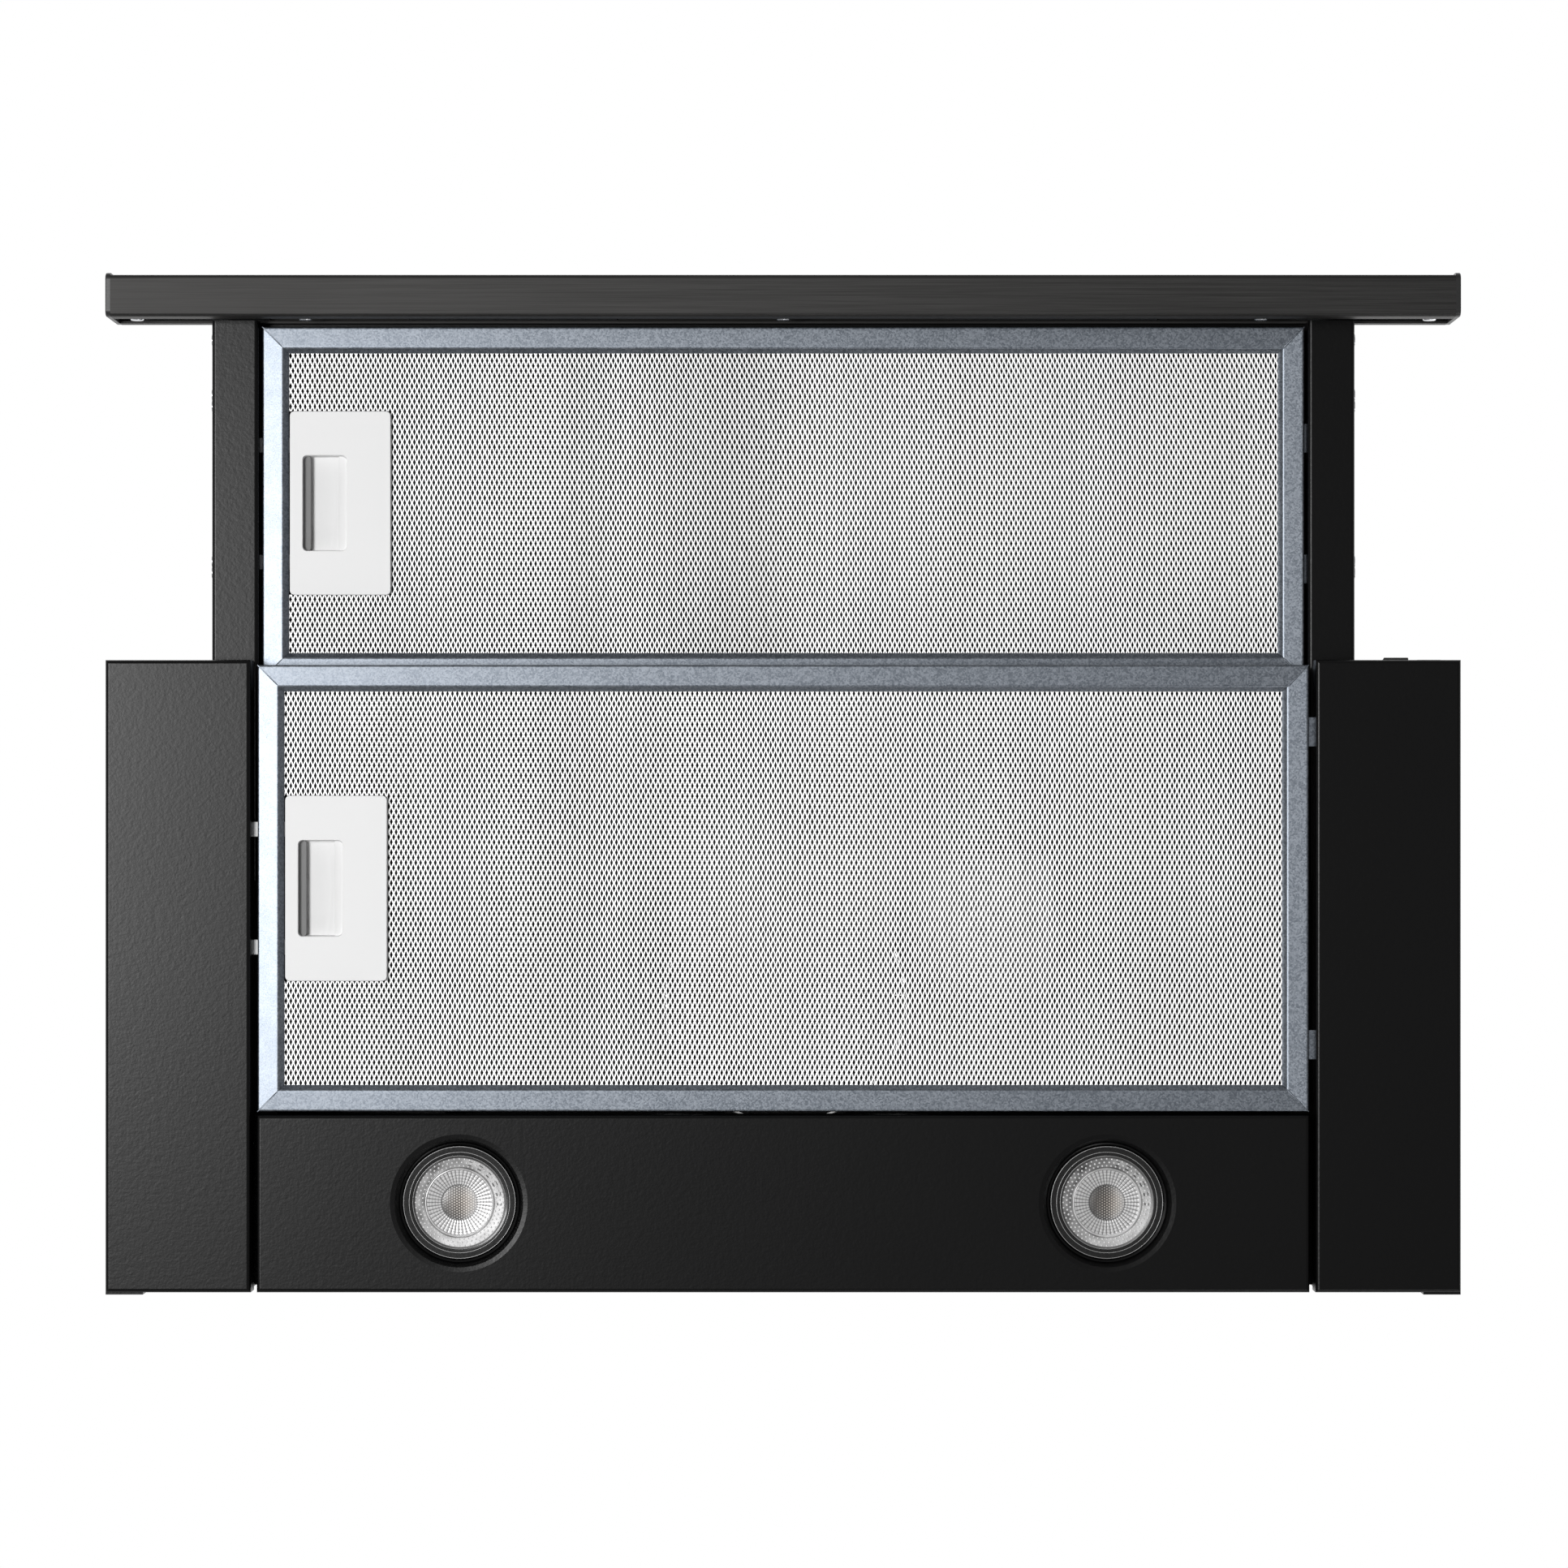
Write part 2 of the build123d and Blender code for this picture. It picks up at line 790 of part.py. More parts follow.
def cable_gland():
    """The gland that the supply cord comes out of."""
    y = terminal_y
    low = casing_top - 4 * sheet
    gland = rod_z(gland_radius, terminal_x, y, low, casing_top)
    seat = Plane(origin=(terminal_x, y, casing_top))
    nut = extrude(seat * RegularPolygon(gland_head, 6), amount=gland_nut_height)
    nut_top = casing_top + gland_nut_height
    top = nut_top + gland_dome_height
    dome = rod_z(gland_radius, terminal_x, y, nut_top, top)
    dome = fillet(dome.edges().group_by(Axis.Z)[-1], (gland_radius - gland_bore) / 2)
    bore = rod_z(gland_bore, terminal_x, y, low - sheet, top + sheet)
    return gland + nut + dome - bore


def capacitor():
    """The run capacitor on its foot against the casing's rear wall."""
    wall = casing_back - sheet
    y = wall - capacitor_radius - sheet
    half = capacitor_length / 2
    can = rod_x(capacitor_radius, capacitor_x - half, capacitor_x + half, y, capacitor_z)
    can = fillet(can.edges().filter_by(GeomType.CIRCLE), capacitor_round)
    reach = capacitor_foot / 2
    foot = slab(capacitor_x - reach, capacitor_x + reach, y, wall, capacitor_z - reach, capacitor_z + reach)
    return can + foot


def switch_housing():
    """The switch body behind the right wing's front, with a pocket for each rocker."""
    front = wing_front + sheet
    last = rocker_x(1) + rocker_width / 2 + rocker_first / 2
    reach = base_height / 2 - 3 * sheet
    z = base_height / 2
    x0 = guide_inner + rocker_first / 2
    body = slab(x0, last, front, front + switch_box_depth, z - reach, z + reach)
    pocket_depth = rocker_pivot_depth + rocker_height / 2
    for index in range(2):
        body -= rocker_window(index, pocket_depth)
        half = rocker_width / 2 + running_gap + 1.2 * sheet
        x = rocker_x(index)
        body -= rod_x(rocker_pin_radius + fit_gap, x - half, x + half, wing_front + rocker_pivot_depth, z)
    return body


def rocker(index, tilt):
    """A rocker button with its two trunnions, turned on them by the tilt at rest."""
    x = rocker_x(index)
    z = base_height / 2
    half = rocker_width / 2
    reach = rocker_height / 2
    y = wing_front + rocker_pivot_depth
    face = wing_front - rocker_proud
    body = slab(x - half, x + half, face, y + 2 * rocker_pin_radius, z - reach, z + reach)
    body = fillet(body.edges().group_by(Axis.Y)[0], rocker_edge_round)
    dip_y = face - rocker_scoop + rocker_sag
    body -= rod_x(rocker_scoop, x - half - sheet, x + half + sheet, dip_y, z)
    tip = half + running_gap + sheet
    body += rod_x(rocker_pin_radius, x - tip, x + tip, y, z)
    return Pos(0, y, z) * Rot(tilt, 0, 0) * Pos(0, -y, -z) * body


# Guides, rollers and their brackets


def guide_right():
    """The channel that the rear roller runs in, fixed between the wing and the deck."""
    front = wing_front + 2 * sheet
    back = rail_back() + tray_travel + rear_roller_setback
    web = slab(guide_inner, guide_inner + sheet, front, back, sheet, deck_z)
    lip = guide_inner - guide_lip
    z = roller_z()
    low = z - guide_channel / 2
    high = z + guide_channel / 2
    web += slab(lip, guide_inner, front, back, low - sheet, low)
    web += slab(lip, guide_inner, front, back, high, high + sheet)
    foot_x = guide_inner + sheet + guide_foot
    rear = front + switch_box_depth + 2 * sheet
    web += slab(guide_inner, foot_x, rear, back, sheet, 2 * sheet)
    web += slab(guide_inner, foot_x, rear, back, deck_z - sheet, deck_z)
    return web


def rail_back():
    """The rear end of the tray rails."""
    return bar_back + rail_length


def roller_z():
    """The height of the rear rollers' axles, in the middle of the rail's wall."""
    return (rail_bottom + rail_top) / 2 + sheet / 2


def rear_roller_y():
    """Where the rear rollers lie along the tray."""
    return rail_back() - rear_roller_setback


def rear_roller_right():
    """The roller behind the right rail that runs in the guide."""
    x1 = guide_inner - roller_side_gap
    x0 = x1 - rear_roller_width
    wheel = rod_x(rear_roller_radius, x0, x1, rear_roller_y(), roller_z())
    wheel = fillet(wheel.edges().filter_by(GeomType.CIRCLE), roller_round)
    return wheel - rod_x(axle_radius + shaft_gap, x0 - sheet, x1 + sheet, rear_roller_y(), roller_z())


def front_roller_x():
    """The outer face of a front roller."""
    return rail_outer - roller_from_wall


def front_roller_z():
    """The height of the front rollers' axles, just under the rails."""
    return rail_bottom - running_gap - front_roller_radius


def front_roller_right():
    """The roller under the right rail at the mouth of the base."""
    x1 = front_roller_x()
    x0 = x1 - front_roller_width
    y = wing_front + front_roller_back
    wheel = rod_x(front_roller_radius, x0, x1, y, front_roller_z())
    wheel = fillet(wheel.edges().filter_by(GeomType.CIRCLE), roller_round)
    return wheel - rod_x(axle_radius + shaft_gap, x0 - sheet, x1 + sheet, y, front_roller_z())


def roller_bracket_right():
    """The angle that stands on the wing and carries the front roller's axle."""
    x0 = front_roller_x() + sheet
    y = wing_front + front_roller_back
    z = front_roller_z()
    half = 3 * axle_radius
    top = z + 2.5 * axle_radius
    bracket = slab(x0, x0 + 1.5 * sheet, y - half, y + half, sheet, top)
    bracket += slab(x0, guide_inner - sheet, y - half, y + half, sheet, 2 * sheet)
    axle_end = front_roller_x() - front_roller_width - sheet
    return bracket + rod_x(axle_radius, axle_end, x0 + sheet, y, z)


# Tray


def rail_section():
    """The outer face of a rail's U section, from its outer wall round to its inner wall."""
    return [
        (rail_outer, rail_top),
        (rail_outer, rail_bottom),
        (rail_inner, rail_bottom),
        (rail_inner, rail_top),
    ]


def rivet_y():
    """Where the rivets lie along a rail."""
    return [bar_back + first_rivet] + [bar_back + row for row in rivet_rows]


def plain_rail():
    """The right tray rail with its slots, rivet holes and roller axle hole."""
    rail = sheet_along_y(rail_section(), -1, bar_back, rail_back())
    middle = (front_filter_front + front_filter_back) / 2
    low = front_filter_z + bolt_height - sheet
    high = front_filter_z + bolt_height + bolt_thickness + sheet
    for y in (middle - tray_tongue_offset, middle + tray_tongue_offset):
        half = tray_slot_length / 2
        rail -= slab(rail_inner - sheet, rail_inner + 2 * sheet, y - half, y + half, low, high)
    for y in rivet_y():
        rail -= rod_x(rivet_shank + fit_gap, rail_outer - 2 * sheet, rail_outer + sheet, y, roller_z())
    axle_hole = axle_radius + fit_gap
    return rail - rod_x(axle_hole, rail_outer - 2 * sheet, rail_outer + sheet, rear_roller_y(), roller_z())


def rivets_right():
    """The rivets of the right rail and the stub axle of its rear roller."""
    pieces = []
    inside = rail_outer - sheet
    z = roller_z()
    for y in rivet_y():
        rivet = rod_x(rivet_shank, inside, rail_outer, y, z)
        rivet += rod_x(rivet_radius, rail_outer, rail_outer + rivet_head, y, z)
        rivet += rod_x(rivet_radius - rivet_head, inside - rivet_head, inside, y, z)
        pieces.append(rivet)
    y = rear_roller_y()
    axle = rod_x(axle_radius, inside, guide_inner - running_gap, y, z)
    axle += rod_x(axle_radius + rivet_head, inside - rivet_head, inside, y, z)
    axle += rod_x(axle_radius + rivet_head, rail_outer, rail_outer + rivet_head, y, z)
    return pieces + [axle]


def rail_rivets():
    """All rivets and stub axles of both rails."""
    right = rivets_right()
    return group(*right, *[other_side(piece) for piece in right])


def tray_cover():
    """The sheet over the front filter."""
    back = front_filter_back + cover_overhang
    return slab(-rail_outer, rail_outer, bar_back, back, rail_top, rail_top + sheet)


def tray_rear_brace():
    """The bar between the rails that the front filter's rear edge rests on."""
    y0 = front_filter_back - brace_depth
    y1 = front_filter_back + brace_depth
    low = front_filter_z - sheet - running_gap
    points = [(y0, low), (y1, low), (y1, low + brace_height + sheet)]
    brace = sheet_along_x(points, 1, -rail_inner, rail_inner)
    return brace


def screw_x():
    """Where the bar's screws lie across the hood."""
    outer = half_width - outer_screw_inset
    inner = half_width - inner_screw_inset
    return [-outer, -inner, 0, inner, outer]


def bar_screw_z():
    """The height of the bar's screws, in the slot between the lips."""
    return bar_lower_lip + bar_screw_above_lip


def plate_back():
    """The rear face of the plate inside the bar."""
    return bar_back - sheet - running_gap


def plate_windows():
    """The gaps between the plate's upright tabs, from the middle to the right."""
    end = plate_half()
    window_end = half_width - side_window_inset
    slot_end = half_width - slot_inset
    small_slot = end - small_slot_inset
    return [
        (-middle_window, middle_window),
        (window_end - side_window_width, window_end),
        (slot_end - slot_width, slot_end),
        (small_slot - small_slot_width / 2, small_slot + small_slot_width / 2),
    ]


def plate_half():
    """Half the length of the plate inside the bar."""
    return half_width - cap_thickness - cap_plug_length + 2 * sheet


def tray_front_plate():
    """The plate inside the bar: a long strip with upright tabs welded to its front."""
    back = plate_back()
    half = plate_half()
    low = sheet + running_gap
    high = deck_z - running_gap
    strip = slab(-half, half, back - sheet, back, low, bar_screw_z() + window_above_screw)
    windows = plate_windows()
    starts = [window[1] for window in windows]
    ends = [window[0] for window in windows[1:]] + [half]
    tabs = []
    for x0, x1 in zip(starts, ends):
        tab = slab(x0, x1, back - 2 * sheet, back - sheet, low, high)
        tabs += [tab, other_side(tab)]
    for x in screw_x():
        hole = rod_y(casing_screw_radius + fit_gap, x, back - 3 * sheet, back + sheet, bar_screw_z())
        strip -= hole
        tabs = [tab - hole for tab in tabs]
    return group(strip, *tabs)


def front_bar():
    """The handle bar: a C profile, open to the rear between two lips."""
    end = half_width - cap_thickness
    points = [
        (bar_back, bar_lower_lip),
        (bar_back, 0),
        (bar_front, 0),
        (bar_front, base_height),
        (bar_back, base_height),
        (bar_back, base_height - bar_upper_lip),
    ]
    return sheet_along_x(points, -1, -end, end)


def bar_cap_right():
    """The right end cap, with a plug that reaches into the bar."""
    x0 = half_width - cap_thickness
    cap = slab(x0, half_width, bar_front - cap_proud, bar_back, 0, base_height)
    cap = fillet(cap.edges().filter_by(Axis.X), cap_corner)
    cap = fillet(cap.faces().sort_by(Axis.X)[-1].edges(), cap_edge_round)
    inset = sheet + cap_plug_gap
    plug_back = plate_back() - 2 * sheet - running_gap
    plug = slab(
        x0 - cap_plug_length, x0, bar_front + inset, plug_back, inset, base_height - inset
    )
    plug -= slab(
        x0 - 2 * cap_plug_length,
        x0,
        bar_front + inset + 2 * sheet,
        plug_back - 2 * sheet,
        inset + 2 * sheet,
        base_height - inset - 2 * sheet,
    )
    return cap + plug


def bar_screws():
    """The screws that hold the bar to its plate, seen in the slot at the rear."""
    screws = []
    back = plate_back()
    for x in screw_x():
        place = (x, back, bar_screw_z())
        head = along(place, (0, -1, 0), bar_screw_head, -bar_screw_head_height, 0)
        head = fillet(head.edges().group_by(Axis.Y)[-1], bar_screw_head_height / 2)
        shank_start = -bar_screw_head_height / 2
        shank = along(place, (0, -1, 0), casing_screw_radius, shank_start, casing_screw_length)
        screws.append(head + shank)
    return group(*screws)


# Filters


def frustum(width, depth, rise):
    """A low pyramid stump whose sides lean inwards at 45 degrees."""
    return extrude(Rectangle(width, depth), amount=rise, taper=45)


def filter_frame(depth):
    """A folded filter frame about its own middle, standing on Z = 0."""
    half = filter_half
    end = depth / 2
    wall = frame_sheet
    frame = slab(-half, half, -end, end, 0, filter_thickness)
    frame = fillet(frame.edges().group_by(Axis.Z)[0], wall)
    hollow = slab(-half + wall, half - wall, -end + wall, end - wall, wall, filter_thickness - wall)
    frame -= hollow
    wide = 2 * (half - frame_face)
    deep = 2 * (end - frame_face)
    frame -= slab(-wide / 2, wide / 2, -deep / 2, deep / 2, -wall, filter_thickness + wall)
    lean = wall * math.sqrt(2)
    step = frustum(wide + 2 * lean, deep + 2 * lean, frame_step) - frustum(wide, deep, frame_step)
    frame += step
    for y in bolt_y(0):
        frame -= bolt_slot(y, -half - wall, -half + 2 * wall, 0)
    return frame


def rear_filter_frame():
    """The rear filter's frame with its two round-nosed hinge tongues."""
    frame = filter_frame(rear_filter_depth)
    middle = (rear_filter_front + rear_filter_back) / 2
    frame = Pos(0, middle, filter_recess) * frame
    radius = tongue_thickness / 2
    z = filter_recess + tongue_height
    pivot = bay_half + pivot_gap
    for y in tongue_y():
        half = tongue_width / 2
        frame += slab(filter_half - frame_sheet, pivot, y - half, y + half, z - radius, z + radius)
        frame += rod_y(radius, pivot, y - half, y + half, z)
    return frame


def front_filter_frame():
    """The tray filter's frame with two flat tongues in the right rail's slots."""
    frame = filter_frame(front_filter_depth)
    middle = (front_filter_front + front_filter_back) / 2
    frame = Pos(0, middle, front_filter_z) * frame
    z0 = front_filter_z + bolt_height
    for y in (middle - tray_tongue_offset, middle + tray_tongue_offset):
        half = tongue_width / 2
        end = rail_inner + sheet + tongue_slot_play
        frame += slab(filter_half - frame_sheet, end, y - half, y + half, z0, z0 + bolt_thickness)
    return frame


def filter_mesh(depth):
    """The lower and the upper sheet of expanded mesh inside a frame, with room for the latch."""
    half = filter_half - mesh_inset
    end = depth / 2 - mesh_inset
    low = frame_step + mesh_gap
    high = filter_thickness - frame_sheet - mesh_gap
    latch_end = -filter_half + plate_inset + plate_width + mesh_gap
    latch_half = plate_length / 2 + mesh_gap
    room = slab(-filter_half, latch_end, -latch_half, latch_half, -high, 2 * high)
    lower = slab(-half, half, -end, end, low, low + mesh_thickness) - room
    upper = slab(-half, half, -end, end, high - mesh_thickness, high) - room
    return group(lower, upper)


def rear_filter_mesh():
    """The rear filter's mesh pack."""
    middle = (rear_filter_front + rear_filter_back) / 2
    return Pos(0, middle, filter_recess) * filter_mesh(rear_filter_depth)


def front_filter_mesh():
    """The tray filter's mesh pack."""
    middle = (front_filter_front + front_filter_back) / 2
    return Pos(0, middle, front_filter_z) * filter_mesh(front_filter_depth)


def plate_left():
    """The latch plate's left edge."""
    return -filter_half + plate_inset


def latch_plate():
    """The plastic plate with the finger opening, walled round at its back."""
    left = plate_left()
    right = left + plate_width
    half = plate_length / 2
    top = filter_thickness - frame_sheet - mesh_gap
    block = slab(left, right, -half, half, plate_sink, top)
    right_edges = block.edges().filter_by(Axis.Z).group_by(Axis.X)[-1]
    block = fillet(right_edges, plate_corner)
    block -= slab(
        left + plate_wall,
        right - plate_wall,
        -half + plate_wall,
        half - plate_wall,
        plate_sink + plate_face,
        top + sheet,
    )
    opening_left = left + recess_margin
    opening = slab(
        opening_left,
        opening_left + recess_width,
        -recess_length / 2,
        recess_length / 2,
        -sheet,
        plate_sink + plate_face + sheet,
    )
    opening = fillet(opening.edges().filter_by(Axis.Z), plate_corner)
    block -= opening
    for y in bolt_y(0):
        block -= bolt_slot(y, left - sheet, left + plate_wall + sheet, 0)
    return block


def slider_left():
    """The left edge of the latch slider's floor."""
    return plate_left() + plate_wall + sheet


def latch_slider(bolt_tip):
    """The sliding floor of the latch with its grip and its two bolts."""
    left = slider_left()
    right = left + slider_width
    half = bolt_offset + bolt_width / 2
    low = bolt_height
    high = bolt_height + bolt_thickness
    slider = slab(left, right, -half, half, low, high)
    for y in bolt_y(0):
        slider += slab(bolt_tip, left + sheet, y - bolt_width / 2, y + bolt_width / 2, low, high)
    grip_left = plate_left() + recess_margin + grip_start
    grip_half = recess_length / 2 - running_gap
    grip_low = plate_sink + plate_face + running_gap
    grip = slab(grip_left, right, -grip_half, grip_half, grip_low, low)
    finger_radius = (grip_half**2 + grip_hollow**2) / (2 * grip_hollow)
    middle = grip_left + grip_hollow - finger_radius
    grip -= rod_z(finger_radius, middle, 0, grip_low - sheet, low)
    return slider + grip


def latch_spring():
    """The two folded return springs between the slider and the plate's right wall."""
    start = slider_left() + slider_width + fit_gap
    end = plate_left() + plate_width - plate_wall - fit_gap
    pitch = (end - start) / (spring_folds + 1)
    points = [(start, 0)]
    for fold in range(1, spring_folds + 1):
        points.append((start + fold * pitch, spring_swing * (-1) ** fold))
    points.append((end, 0))
    path = FilletPolyline(*points, radius=pitch / 4)
    leaf = extrude(trace(path, line_width=spring_leaf), amount=spring_height)
    low = bolt_height + (bolt_thickness - spring_height) / 2
    leaf &= slab(start, end, -2 * spring_swing, 2 * spring_swing, 0, spring_height)
    leaf = Pos(0, 0, low) * leaf
    return group(Pos(0, -spring_offset, 0) * leaf, Pos(0, spring_offset, 0) * leaf)


def at_rear_filter(shape):
    """A latch piece moved from its own frame to the rear filter."""
    return Pos(0, (rear_filter_front + rear_filter_back) / 2, filter_recess) * shape


def at_front_filter(shape):
    """A latch piece moved from its own frame to the tray filter."""
    return Pos(0, (front_filter_front + front_filter_back) / 2, front_filter_z) * shape


def lamp_at(x, shape):
    """A lamp piece moved from its own frame to its place in the panel."""
    return Pos(x, lamp_y, lamp_sink) * shape


def all_parts():
    """Every sub-part under its name."""
    rear_tip = -bay_half - sheet - bolt_engagement
    front_tip = -rail_inner - sheet - bolt_engagement
    parts = {
        "base_deck": base_deck(),
        "wing_left": wing_left(),
        "wing_right": wing_right(),
        "lamp_panel": lamp_panel(),
        "casing_wrap": casing_wrap(),
        "casing_screws": casing_screws(),
        "impeller": impeller(),
        "motor_shaft": motor_shaft(),
        "motor": motor(),
        "motor_bracket": motor_bracket(),
        "outlet_collar": outlet_collar(),
        "damper_pin": damper_pin(),
        "damper_flap_rear": damper_flap(1),
        "damper_flap_front": damper_flap(-1),
        "terminal_box": terminal_box(),
        "cable_gland": cable_gland(),
        "capacitor": capacitor(),
        "switch_housing": switch_housing(),
        "lamp_switch": rocker(0, -rocker_swing),
        "fan_switch": rocker(1, 0),
        "rail_rivets": rail_rivets(),
        "tray_cover": tray_cover(),
        "tray_rear_brace": tray_rear_brace(),
        "tray_front_plate": tray_front_plate(),
        "front_bar": front_bar(),
        "bar_screws": bar_screws(),
        "rear_filter_frame": rear_filter_frame(),
        "rear_filter_mesh": rear_filter_mesh(),
        "rear_latch_plate": at_rear_filter(latch_plate()),
        "rear_latch_slider": at_rear_filter(latch_slider(rear_tip)),
        "rear_latch_spring": at_rear_filter(latch_spring()),
        "front_filter_frame": front_filter_frame(),
        "front_filter_mesh": front_filter_mesh(),
        "front_latch_plate": at_front_filter(latch_plate()),
        "front_latch_slider": at_front_filter(latch_slider(front_tip)),
        "front_latch_spring": at_front_filter(latch_spring()),
    }
    pairs = {
        "casing_side": casing_side_right(),
        "guide": guide_right(),
        "roller_bracket": roller_bracket_right(),
        "front_roller": front_roller_right(),
        "rear_roller": rear_roller_right(),
        "scroll": scroll_right(),
        "tray_rail": plain_rail(),
        "bar_cap": bar_cap_right(),
    }
    for name, shape in pairs.items():
        parts[name + "_right"] = shape
        parts[name + "_left"] = other_side(shape)
    for side, x in (("left", -lamp_x), ("right", lamp_x)):
        parts["lamp_body_" + side] = lamp_at(x, lamp_body())
        parts["lamp_lens_" + side] = lamp_at(x, lamp_lens())
        parts["lampholder_" + side] = lamp_at(x, lampholder())
        parts["lamp_bracket_" + side] = Pos(x, lamp_y, 0) * lamp_bracket()
    return parts


os.makedirs("parts", exist_ok=True)
for part_name, part_shape in all_parts().items():
    export_step(part_shape, f"parts/{part_name}.step")
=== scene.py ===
import json
import math

import bpy
import numpy as np
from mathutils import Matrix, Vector


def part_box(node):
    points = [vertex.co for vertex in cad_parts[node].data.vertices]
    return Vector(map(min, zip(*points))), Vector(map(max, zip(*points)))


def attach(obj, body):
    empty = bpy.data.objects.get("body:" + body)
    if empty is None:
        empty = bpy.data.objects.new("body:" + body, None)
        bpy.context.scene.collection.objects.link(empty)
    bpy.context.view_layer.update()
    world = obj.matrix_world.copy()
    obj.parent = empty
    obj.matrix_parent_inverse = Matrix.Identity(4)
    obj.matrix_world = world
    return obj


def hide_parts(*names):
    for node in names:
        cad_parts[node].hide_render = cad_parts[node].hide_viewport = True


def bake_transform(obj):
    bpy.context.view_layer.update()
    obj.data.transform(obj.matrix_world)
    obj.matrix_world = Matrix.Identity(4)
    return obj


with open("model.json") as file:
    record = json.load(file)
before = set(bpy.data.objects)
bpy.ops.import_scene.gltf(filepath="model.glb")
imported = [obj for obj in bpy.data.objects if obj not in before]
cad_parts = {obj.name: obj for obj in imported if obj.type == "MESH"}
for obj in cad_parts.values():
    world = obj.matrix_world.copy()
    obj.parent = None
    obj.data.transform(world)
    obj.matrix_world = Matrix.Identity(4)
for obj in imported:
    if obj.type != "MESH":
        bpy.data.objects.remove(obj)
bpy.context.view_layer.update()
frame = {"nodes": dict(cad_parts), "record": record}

# A slide-out range hood seen from straight below, its filter tray pulled out.
# Lengths are in metres in the frame of the solids; mm turns millimetres into metres.

mm = 0.001
nodes = frame["nodes"]
slots = {part["node"]: part["material_slot"] for part in frame["record"]["subparts"]}
draws = np.random.default_rng(11)


# Materials


class Field:
    """A value that changes over a surface, held as one output socket of a material."""

    def __init__(self, tree, socket=None):
        self.tree = tree
        self.socket = socket

    def node(self, kind, settings, sockets, output=0):
        """Adds a node: first its settings, then its sockets, as plain values or other fields."""
        made = self.tree.nodes.new(kind)
        for name, value in settings.items():
            setattr(made, name, value)
        for key, value in sockets.items():
            if isinstance(value, Field):
                self.tree.links.new(value.socket, made.inputs[key])
            else:
                made.inputs[key].default_value = value
        return Field(self.tree, made.outputs[output])

    def maths(self, operation, *values):
        """A Math node on this many values."""
        return self.node("ShaderNodeMath", {"operation": operation}, dict(enumerate(values)))

    def __add__(self, other):
        return self.maths("ADD", self, other)

    def __radd__(self, other):
        return self.maths("ADD", other, self)

    def __sub__(self, other):
        return self.maths("SUBTRACT", self, other)

    def __rsub__(self, other):
        return self.maths("SUBTRACT", other, self)

    def __mul__(self, other):
        return self.maths("MULTIPLY", self, other)

    def __rmul__(self, other):
        return self.maths("MULTIPLY", other, self)

    def clip(self):
        """This value kept between 0 and 1."""
        return self.node("ShaderNodeClamp", {}, {0: self})

    def between(self, low, high):
        """0 where this value is low and 1 where it is high, smoothly."""
        return self.node(
            "ShaderNodeMapRange",
            {"interpolation_type": "SMOOTHSTEP"},
            {"Value": self, "From Min": low, "From Max": high},
        )

    def blend(self, first, second):
        """A colour that goes from the first to the second as this value goes from 0 to 1."""
        sockets = {0: self, 6: first, 7: second}
        return self.node("ShaderNodeMix", {"data_type": "RGBA"}, sockets, 2)


def rgb(red, green, blue):
    """An opaque colour."""
    return (red, green, blue, 1.0)


def grey(value):
    """A neutral colour."""
    return (value, value, value, 1.0)


class Finish:
    """A material on one Principled shader, with the fields that its patterns are made of."""

    def __init__(self, name, **constants):
        self.material = bpy.data.materials.new(name)
        self.material.use_nodes = True
        self.tree = self.material.node_tree
        self.shader = self.tree.nodes["Principled BSDF"]
        self.base = Field(self.tree)
        for name, value in constants.items():
            self.shader.inputs[name.replace("_", " ")].default_value = value

    def drive(self, name, field):
        """Links a field to the shader's socket of that name."""
        self.tree.links.new(field.socket, self.shader.inputs[name])

    def place(self, stretch=(1.0, 1.0, 1.0)):
        """The point on the piece in metres, stretched along each axis."""
        here = self.base.node("ShaderNodeTexCoord", {}, {}, "Object")
        sockets = {0: here, 1: stretch}
        return self.base.node("ShaderNodeVectorMath", {"operation": "MULTIPLY"}, sockets)

    def x(self):
        """The X coordinate of the point on the piece, in metres."""
        return self.base.node("ShaderNodeSeparateXYZ", {}, {0: self.place()}, "X")

    def painted(self, name):
        """A value that the piece's own points carry under this name."""
        return self.base.node("ShaderNodeAttribute", {"attribute_name": name}, {}, "Fac")

    def noise(self, scale, stretch=(1.0, 1.0, 1.0), detail=2.0, roughness=0.5):
        """Cloudy noise with this many blobs in a metre, more of them along a stretched axis."""
        sockets = {
            "Vector": self.place(stretch),
            "Scale": scale,
            "Detail": detail,
            "Roughness": roughness,
        }
        return self.base.node("ShaderNodeTexNoise", {}, sockets)

    def cells(self, scale):
        """One random value for each crystal, with this many crystals in a metre."""
        sockets = {"Vector": self.place(), "Scale": scale}
        colour = self.base.node("ShaderNodeTexVoronoi", {}, sockets, "Color")
        return self.base.node("ShaderNodeSeparateColor", {}, {0: colour})

    def bump(self, height, distance, strength=1.0):
        """Feeds a height, in metres at height 1, to the shader's normal."""
        sockets = {"Strength": strength, "Distance": distance, "Height": height}
        self.drive("Normal", self.base.node("ShaderNodeBump", {}, sockets))


def powder_coat():
    """Black powder coat with a fine orange-peel skin."""
    finish = Finish("black_powder_coat", Specular_IOR_Level=0.2)
    peel = finish.noise(900.0)
    coarse = finish.noise(380.0)
    cloud = finish.noise(9.0)
    tone = 0.8 + 0.4 * cloud
    finish.drive("Base Color", tone.clip().blend(grey(0.0004), rgb(0.0011, 0.0011, 0.0012)))
    finish.drive("Roughness", 0.265 + 0.05 * peel + 0.04 * cloud)
    finish.bump(peel * 0.6 + coarse * 0.9, 0.048 * mm)
    return finish.material


